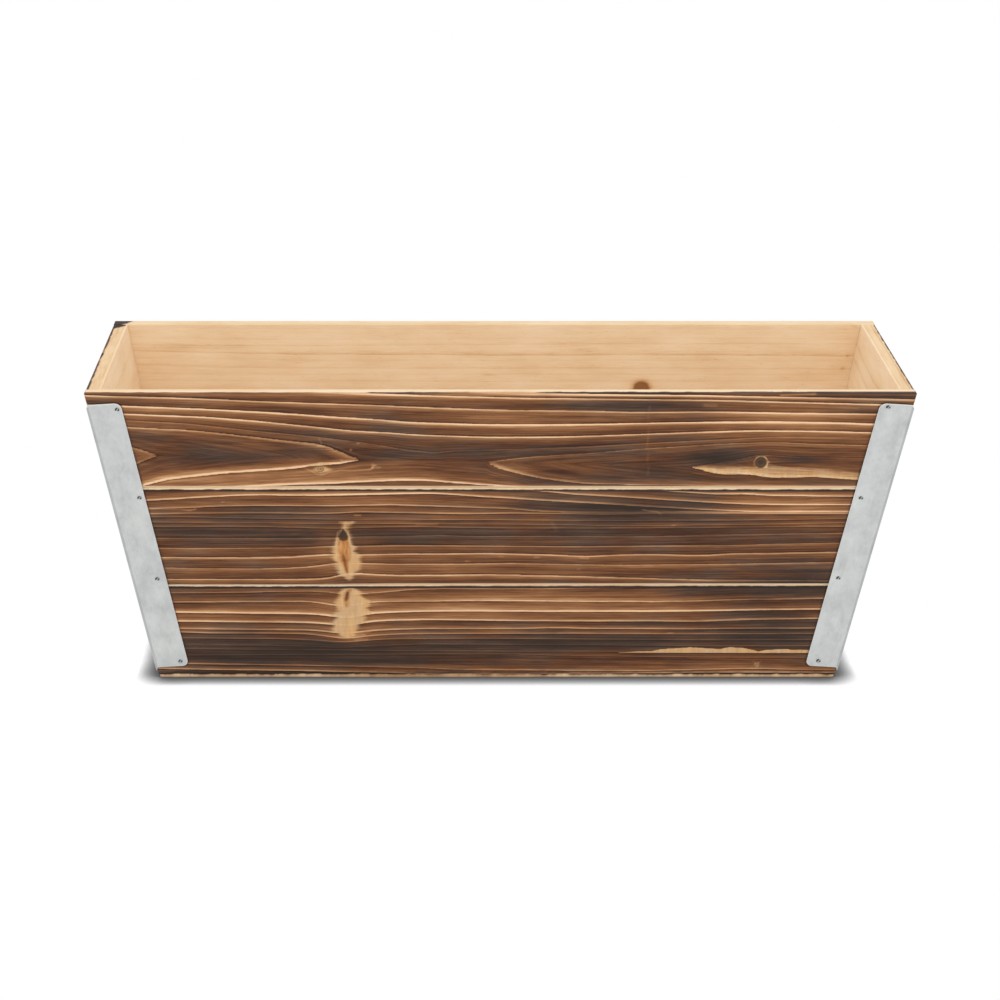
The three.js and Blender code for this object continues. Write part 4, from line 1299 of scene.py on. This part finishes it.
def makeTorchedFigure():
    # The burnt skin: dark where a ring starts, tan as it grows, and a pale brushed line where it ends
    inputs = {name: "Float" for name in ("Ring", "Ring Width", "Glow", "Cloud", "Thread", "Fibre", "Coarse",
                                         "Patch", "Streak")}
    outputs = {"Color": "Color", "Height": "Float", "Tone": "Float"}
    tree, given, made = newGroup("TorchedFigure", inputs, outputs)
    phase = calc(tree, "FRACT", swing(tree, given["Fibre"], 0.05, given["Ring"]))
    left = calc(tree, "MULTIPLY", calc(tree, "SUBTRACT", 1.0, phase), given["Ring Width"])
    passed = calc(tree, "MULTIPLY", phase, given["Ring Width"])
    reach = calc(tree, "MULTIPLY_ADD", given["Glow"], 1.3, 0.8)
    line = soften(tree, calc(tree, "DIVIDE", left, reach), 0.25, 1.1, 1.0, 0.0)
    halo = soften(tree, left, 0.0, 6.0, 1.0, 0.0)
    rise = calc(tree, "MULTIPLY", given["Glow"], calc(tree, "MULTIPLY_ADD", line, 0.66,
                                                    calc(tree, "MULTIPLY", halo, 0.31)))
    tone = calc(tree, "MULTIPLY_ADD", soften(tree, passed, 0.1, 1.8, 1.0, 0.0), -0.09, rise)
    tone = calc(tree, "ADD", tone, 0.18)
    tone = swing(tree, given["Fibre"], 0.13, tone)
    tone = swing(tree, given["Streak"], 0.24, tone)
    tone = swing(tree, given["Coarse"], 0.12, tone)
    tone = swing(tree, given["Patch"], 0.08, tone)
    darker = calc(tree, "MULTIPLY", given["Cloud"], calc(tree, "MULTIPLY_ADD", tone, 0.75, 0.22))
    tone = calc(tree, "SUBTRACT", tone, darker)
    thread = swing(tree, given["Fibre"], 0.2, 0.72)
    toThread = calc(tree, "SUBTRACT", thread, tone)
    tone = calc(tree, "MULTIPLY_ADD", given["Thread"], toThread, tone, clamp=True)
    warm = colourRamp(tree, tone, [(0, (64, 40, 27)), (0.1, (86, 54, 36)), (0.2, (112, 71, 45)),
                                   (0.35, (143, 96, 61)), (0.5, (170, 120, 79)), (0.65, (194, 146, 103)),
                                   (0.8, (218, 171, 128)), (1, (248, 206, 163))])
    soot = colourRamp(tree, tone, [(0, (56, 44, 37)), (0.12, (78, 60, 50)), (0.25, (106, 80, 63)),
                                   (0.45, (158, 115, 82)), (0.8, (216, 171, 130)), (1, (248, 206, 163))])
    sooted = soften(tree, swing(tree, given["Patch"], 0.5, given["Cloud"]), -0.15, 0.4)
    feed(tree, made["Color"], blend(tree, sooted, warm, soot))
    feed(tree, made["Tone"], tone)
    height = calc(tree, "MULTIPLY_ADD", given["Fibre"], 0.12, calc(tree, "MULTIPLY", tone, 0.1))
    feed(tree, made["Height"], height)
    return tree


def makeBareFigure():
    # Planed, unburnt pine: faint tan growth lines over a pale ground
    inputs = {name: "Float" for name in ("Ring", "Late", "Shade", "Fibre", "Coarse", "Patch", "Speck")}
    tree, given, made = newGroup("BareFigure", inputs, {"Color": "Color", "Height": "Float"})
    phase = calc(tree, "FRACT", swing(tree, given["Coarse"], 0.12, given["Ring"]))
    late = calc(tree, "MULTIPLY", calc(tree, "POWER", phase, 4.0), soften(tree, phase, 0.9, 1.0, 1.0, 0.0))
    late = calc(tree, "MULTIPLY", late, given["Late"])
    tone = calc(tree, "MULTIPLY_ADD", late, -0.34, 0.82)
    tone = calc(tree, "MULTIPLY_ADD", given["Shade"], -0.5, tone)
    tone = swing(tree, given["Fibre"], 0.25, tone)
    tone = swing(tree, given["Patch"], 0.25, tone)
    tone = calc(tree, "MULTIPLY_ADD", given["Speck"], -0.2, tone)
    colour = colourRamp(tree, tone, [(0, (150, 104, 66)), (0.2, (206, 163, 116)), (0.45, (234, 200, 156)),
                                     (0.75, (246, 220, 184)), (1, (251, 232, 204))])
    feed(tree, made["Color"], colour)
    height = calc(tree, "MULTIPLY_ADD", given["Fibre"], 0.06, calc(tree, "MULTIPLY", late, 0.03))
    feed(tree, made["Height"], height)
    return tree


def makeKnotColour():
    # Tan flesh round a knot, its orange heart and the charcoal in its cracks; the charcoal colour also shows
    # the painted shadow along the straps
    inputs = {"Color": "Color", "Grain": "Vector", "Pale": "Float", "Heart": "Float", "Char And Shade": "Float",
              "Fibre": "Float", "Coarse": "Float", "Tone": "Float"}
    tree, given, made = newGroup("KnotColour", inputs, {"Color": "Color"})
    upright = rescale(tree, stretched(tree, given["Grain"], (0.38, 0.07, 0.5), 3.0, 0.6), 0.3, 0.7)
    side = rescale(tree, stretched(tree, given["Grain"], (0.07, 0.05, 0.05), 1.0), 0.35, 0.65)
    streak = calc(tree, "MULTIPLY_ADD", upright, 0.3, calc(tree, "MULTIPLY", given["Fibre"], 0.12))
    streak = calc(tree, "MULTIPLY_ADD", given["Tone"], 0.26, calc(tree, "ADD", streak, 0.25))
    warm = colourRamp(tree, streak, [(0, (158, 108, 66)), (0.35, (208, 158, 105)), (0.7, (230, 184, 128)),
                                     (1, (248, 212, 162))])
    cool = colourRamp(tree, streak, [(0, (146, 106, 72)), (0.35, (203, 161, 117)), (0.7, (222, 186, 142)),
                                     (1, (242, 210, 170))])
    flesh = blend(tree, side, cool, warm)
    grain = calc(tree, "MULTIPLY_ADD", upright, 0.7, calc(tree, "MULTIPLY", given["Fibre"], 0.3))
    heart = colourRamp(tree, grain, [(0, (128, 72, 36)), (0.45, (186, 120, 62)), (1, (226, 168, 104))])
    pale = calc(tree, "MULTIPLY", given["Pale"], 1.2)
    pale = calc(tree, "MULTIPLY_ADD", calc(tree, "SUBTRACT", given["Tone"], 0.3), 0.9, pale)
    pale = soften(tree, swing(tree, given["Fibre"], 0.15, pale), 0.2, 1.0)
    pale = calc(tree, "MULTIPLY", calc(tree, "POWER", pale, 1.5), soften(tree, given["Pale"], 0.0, 0.2))
    colour = blend(tree, pale, given["Color"], flesh)
    colour = blend(tree, given["Heart"], colour, heart)
    charAndShade = colourRamp(tree, given["Heart"], [(0, (54, 40, 33)), (0.45, (60, 46, 38)), (0.8, (98, 52, 26))])
    feed(tree, made["Color"], blend(tree, given["Char And Shade"], colour, charAndShade))
    return tree


def makeMetalBloom():
    # Cloudy zinc: faint crystals, a soft bloom and fine upright scuffs
    tree, given, made = newGroup("MetalBloom", {"Place": "Vector"},
                                 {"Bloom": "Float", "Crystal": "Float", "Scuff": "Float"})
    bloom = stretched(tree, given["Place"], (0.07, 0.045, 0.07), 4.0, 0.6)
    scuff = stretched(tree, given["Place"], (1.4, 0.05, 1.0), 3.0, 0.6)
    scaled = addNode(tree, "VectorMath", {0: given["Place"], 1: (0.45, 0.3, 0.4)}, operation="MULTIPLY")
    cells = addNode(tree, "TexVoronoi", {"Vector": scaled.outputs[0], "Scale": 1.0, "Randomness": 1.0})
    crystal = addNode(tree, "SeparateColor", {"Color": cells.outputs["Color"]}).outputs[0]
    feed(tree, made["Bloom"], rescale(tree, bloom, 0.3, 0.7))
    feed(tree, made["Crystal"], crystal)
    feed(tree, made["Scuff"], soften(tree, scuff, 0.56, 0.74))
    return tree


def newMaterial(name):
    material = bpy.data.materials.new(name)
    material.use_nodes = True
    tree = material.node_tree
    return material, tree, tree.nodes["Principled BSDF"]


def bumpInto(tree, shader, height, strength, distance):
    bump = addNode(tree, "Bump", {"Height": height, "Strength": strength, "Distance": distance})
    tree.links.new(bump.outputs[0], shader.inputs["Normal"])


def torchedSoftwood(groups):
    material, tree, shader = newMaterial("TorchedSoftwood")
    ring, width, glow = parts(tree, attribute(tree, "figure"))
    fibres = useGroup(tree, groups["GrainFibres"], {"Grain": attribute(tree, "grain"), "Ring": ring})
    # the third number of burn is the knots' charcoal together with the painted strap shadow
    cloud, bare, charAndShade = parts(tree, attribute(tree, "burn"))
    pale, heart, thread = parts(tree, attribute(tree, "knots"))
    bareRing, shade, late = parts(tree, attribute(tree, "planed"))
    shared = {"Fibre": fibres["Fibre"], "Coarse": fibres["Coarse"]}
    burnt = useGroup(tree, groups["TorchedFigure"], {
        "Ring": ring, "Ring Width": width, "Glow": glow, "Cloud": cloud, "Thread": thread,
        "Patch": fibres["Patch"], "Streak": fibres["Streak"], **shared})
    knotted = useGroup(tree, groups["KnotColour"], {
        "Color": burnt["Color"], "Grain": attribute(tree, "grain"), "Pale": pale, "Heart": heart,
        "Char And Shade": charAndShade, "Tone": burnt["Tone"], **shared})
    planed = useGroup(tree, groups["BareFigure"], {
        "Ring": bareRing, "Shade": shade, "Late": late, "Patch": fibres["Patch"],
        "Speck": fibres["Speck"], **shared})
    colour = blend(tree, bare, knotted["Color"], planed["Color"])
    tree.links.new(colour, shader.inputs["Base Color"])
    height = calc(tree, "MULTIPLY_ADD", bare, calc(tree, "SUBTRACT", planed["Height"], burnt["Height"]),
                  burnt["Height"])
    shader.inputs["Roughness"].default_value = 0.72
    shader.inputs["Specular IOR Level"].default_value = 0.18
    bumpInto(tree, shader, height, 0.6, 0.001)
    return material


def barePine(groups):
    material, tree, shader = newMaterial("BarePine")
    fibres = useGroup(tree, groups["GrainFibres"], {"Grain": attribute(tree, "grain")})
    ring, shade, late = parts(tree, attribute(tree, "planed"))
    planed = useGroup(tree, groups["BareFigure"], {
        "Ring": ring, "Shade": shade, "Late": late, "Fibre": fibres["Fibre"], "Coarse": fibres["Coarse"],
        "Patch": fibres["Patch"], "Speck": fibres["Speck"]})
    tree.links.new(planed["Color"], shader.inputs["Base Color"])
    shader.inputs["Roughness"].default_value = 0.7
    shader.inputs["Specular IOR Level"].default_value = 0.18
    bumpInto(tree, shader, planed["Height"], 0.6, 0.001)
    return material


def galvanisedSheet(groups):
    material, tree, shader = newMaterial("GalvanisedSheet")
    place = attribute(tree, "sheet")
    edge = parts(tree, place)[2]
    bloom = useGroup(tree, groups["MetalBloom"], {"Place": place})
    tone = calc(tree, "MULTIPLY_ADD", calc(tree, "SUBTRACT", bloom["Bloom"], 0.5), 0.7, 0.5)
    tone = calc(tree, "MULTIPLY_ADD", calc(tree, "SUBTRACT", bloom["Crystal"], 0.5), 0.22, tone)
    tone = calc(tree, "MULTIPLY_ADD", bloom["Scuff"], -0.25, tone)
    colour = colourRamp(tree, tone, [(0, (184, 187, 186)), (0.5, (205, 208, 206)), (1, (220, 222, 220))])
    # painted highlight along the cut edges, painted shade on the fold
    colour = blend(tree, calc(tree, "MULTIPLY", edge, 0.7, clamp=True), colour, srgb(236, 238, 236))
    colour = blend(tree, calc(tree, "MULTIPLY", edge, -0.3, clamp=True), colour, srgb(120, 122, 122))
    tree.links.new(colour, shader.inputs["Base Color"])
    shader.inputs["Metallic"].default_value = 0.6
    rough = calc(tree, "MULTIPLY_ADD", bloom["Crystal"], 0.12, 0.4)
    tree.links.new(rough, shader.inputs["Roughness"])
    height = calc(tree, "MULTIPLY_ADD", bloom["Scuff"], -0.04, calc(tree, "MULTIPLY", bloom["Bloom"], 0.1))
    bumpInto(tree, shader, height, 0.5, 0.001)
    return material


def wireSteel(groups):
    material, tree, shader = newMaterial("WireNail")
    head = parts(tree, attribute(tree, "head"))
    bloom = useGroup(tree, groups["MetalBloom"], {"Place": attribute(tree, "head")})
    # painted shade on the nail head: light along its lower edge, dark over the rest
    shade = soften(tree, head[1], -0.62, -0.1)
    colour = blend(tree, shade, srgb(226, 226, 224), srgb(62, 66, 68))
    # a painted glint: a light diagonal stripe across the head
    glint = calc(tree, "SUBTRACT", calc(tree, "MULTIPLY", head[0], 1.2), head[1])
    glint = calc(tree, "ABSOLUTE", calc(tree, "ADD", glint, 0.15))
    colour = blend(tree, soften(tree, glint, 0.12, 0.4, 0.75, 0.0), colour, srgb(222, 223, 221))
    colour = blend(tree, calc(tree, "MULTIPLY", bloom["Bloom"], 0.25), colour, srgb(140, 140, 138))
    tree.links.new(colour, shader.inputs["Base Color"])
    shader.inputs["Metallic"].default_value = 0.75
    shader.inputs["Roughness"].default_value = 0.35
    return material


effects = {group.name: group for group in (makeGrainFibres(), makeTorchedFigure(), makeBareFigure(),
                                           makeKnotColour(), makeMetalBloom())}
torched = torchedSoftwood(effects)
pine = barePine(effects)
galvanised = galvanisedSheet(effects)
wire = wireSteel(effects)
print("materials made")


for wallIndex, wall in enumerate(("front", "back", "left", "right")):
    for rowIndex, row in enumerate(("bottom", "middle", "top")):
        buildPlank(wall, row, 10 + 7 * wallIndex + rowIndex, torched)
print("planks built")
for face in (-1, 1):
    buildFloorBoard(face, pine)
print("floor boards built")
for side in (-1, 1):
    for face in (-1, 1):
        buildCorner(side, face, galvanised, wire)
    buildFloorNails(side, wire)
print("straps and nails built")


cameraShape = {"lens": 93.6, "tilt": 70.83, "place": (-0.0525, -1.923, 0.787), "shift": 0.0713}
lightShape = {"world": 1.02, "key": 3.0, "keySize": 1.6, "keyPlace": (-0.3, -1.6, 2.2)}


def addCamera():
    camera = bpy.data.cameras.new("Camera")
    camera.sensor_width = 36
    camera.lens = cameraShape["lens"]
    camera.shift_x = cameraShape["shift"]
    holder = bpy.data.objects.new("Camera", camera)
    holder.location = cameraShape["place"]
    holder.rotation_euler = (math.radians(cameraShape["tilt"]), 0, 0)
    bpy.context.scene.collection.objects.link(holder)
    bpy.context.scene.camera = holder


def addFloor():
    size = 6000.0
    points = [(-size, -size, 0), (size, -size, 0), (size, size, 0), (-size, size, 0)]
    floor = makeMesh("floor", points, [(0, 1, 2, 3)])
    material = bpy.data.materials.new("PaleGround")
    material.use_nodes = True
    tree = material.node_tree
    shader = tree.nodes["Principled BSDF"]
    shader.inputs["Base Color"].default_value = (0.9, 0.9, 0.9, 1)
    shader.inputs["Roughness"].default_value = 0.9
    shader.inputs["Specular IOR Level"].default_value = 0.0
    # the floor glows white to camera and glossy rays, darkened near the planter by ambient occlusion: a
    # painted contact shadow
    path = tree.nodes.new("ShaderNodeLightPath")
    glow = tree.nodes.new("ShaderNodeEmission")
    near = tree.nodes.new("ShaderNodeAmbientOcclusion")
    near.samples = 16
    near.inputs["Distance"].default_value = 0.017
    curve = tree.nodes.new("ShaderNodeMath")
    curve.operation = "POWER"
    tree.links.new(near.outputs["AO"], curve.inputs[0])
    curve.inputs[1].default_value = 4.3
    paintedContactShadow = tree.nodes.new("ShaderNodeMapRange")
    paintedContactShadow.inputs["To Min"].default_value = 0.08
    tree.links.new(curve.outputs[0], paintedContactShadow.inputs["Value"])
    tree.links.new(paintedContactShadow.outputs[0], glow.inputs["Color"])
    mix = tree.nodes.new("ShaderNodeMixShader")
    mirrored = tree.nodes.new("ShaderNodeMath")
    mirrored.operation = "MAXIMUM"
    tree.links.new(path.outputs["Is Camera Ray"], mirrored.inputs[0])
    tree.links.new(path.outputs["Is Glossy Ray"], mirrored.inputs[1])
    tree.links.new(mirrored.outputs[0], mix.inputs[0])
    tree.links.new(shader.outputs[0], mix.inputs[1])
    tree.links.new(glow.outputs[0], mix.inputs[2])
    tree.links.new(mix.outputs[0], tree.nodes["Material Output"].inputs["Surface"])
    floor.data.materials.append(material)


def addLight():
    world = bpy.data.worlds.new("World")
    bpy.context.scene.world = world
    world.use_nodes = True
    tree = world.node_tree
    background = tree.nodes["Background"]
    path = tree.nodes.new("ShaderNodeLightPath")
    seen = tree.nodes.new("ShaderNodeMath")
    seen.operation = "MAXIMUM"
    tree.links.new(path.outputs["Is Camera Ray"], seen.inputs[0])
    tree.links.new(path.outputs["Is Glossy Ray"], seen.inputs[1])
    through = tree.nodes.new("ShaderNodeMath")
    through.operation = "MAXIMUM"
    tree.links.new(seen.outputs[0], through.inputs[0])
    tree.links.new(path.outputs["Is Transmission Ray"], through.inputs[1])
    level = tree.nodes.new("ShaderNodeMapRange")
    level.inputs["To Min"].default_value = lightShape["world"]
    level.inputs["To Max"].default_value = 1.0
    tree.links.new(through.outputs[0], level.inputs["Value"])
    tree.links.new(level.outputs[0], background.inputs["Strength"])
    background.inputs["Color"].default_value = (1, 1, 1, 1)
    lamp = bpy.data.lights.new("Key", "AREA")
    lamp.energy = lightShape["key"]
    lamp.size = lightShape["keySize"]
    holder = bpy.data.objects.new("Key", lamp)
    holder.location = lightShape["keyPlace"]
    holder.rotation_euler = (Vector((0, 0, 0.12)) - holder.location).to_track_quat("-Z", "Y").to_euler()
    bpy.context.scene.collection.objects.link(holder)


addFloor()
addLight()
addCamera()
bpy.context.scene.view_settings.view_transform = "Standard"

print("scene ready")
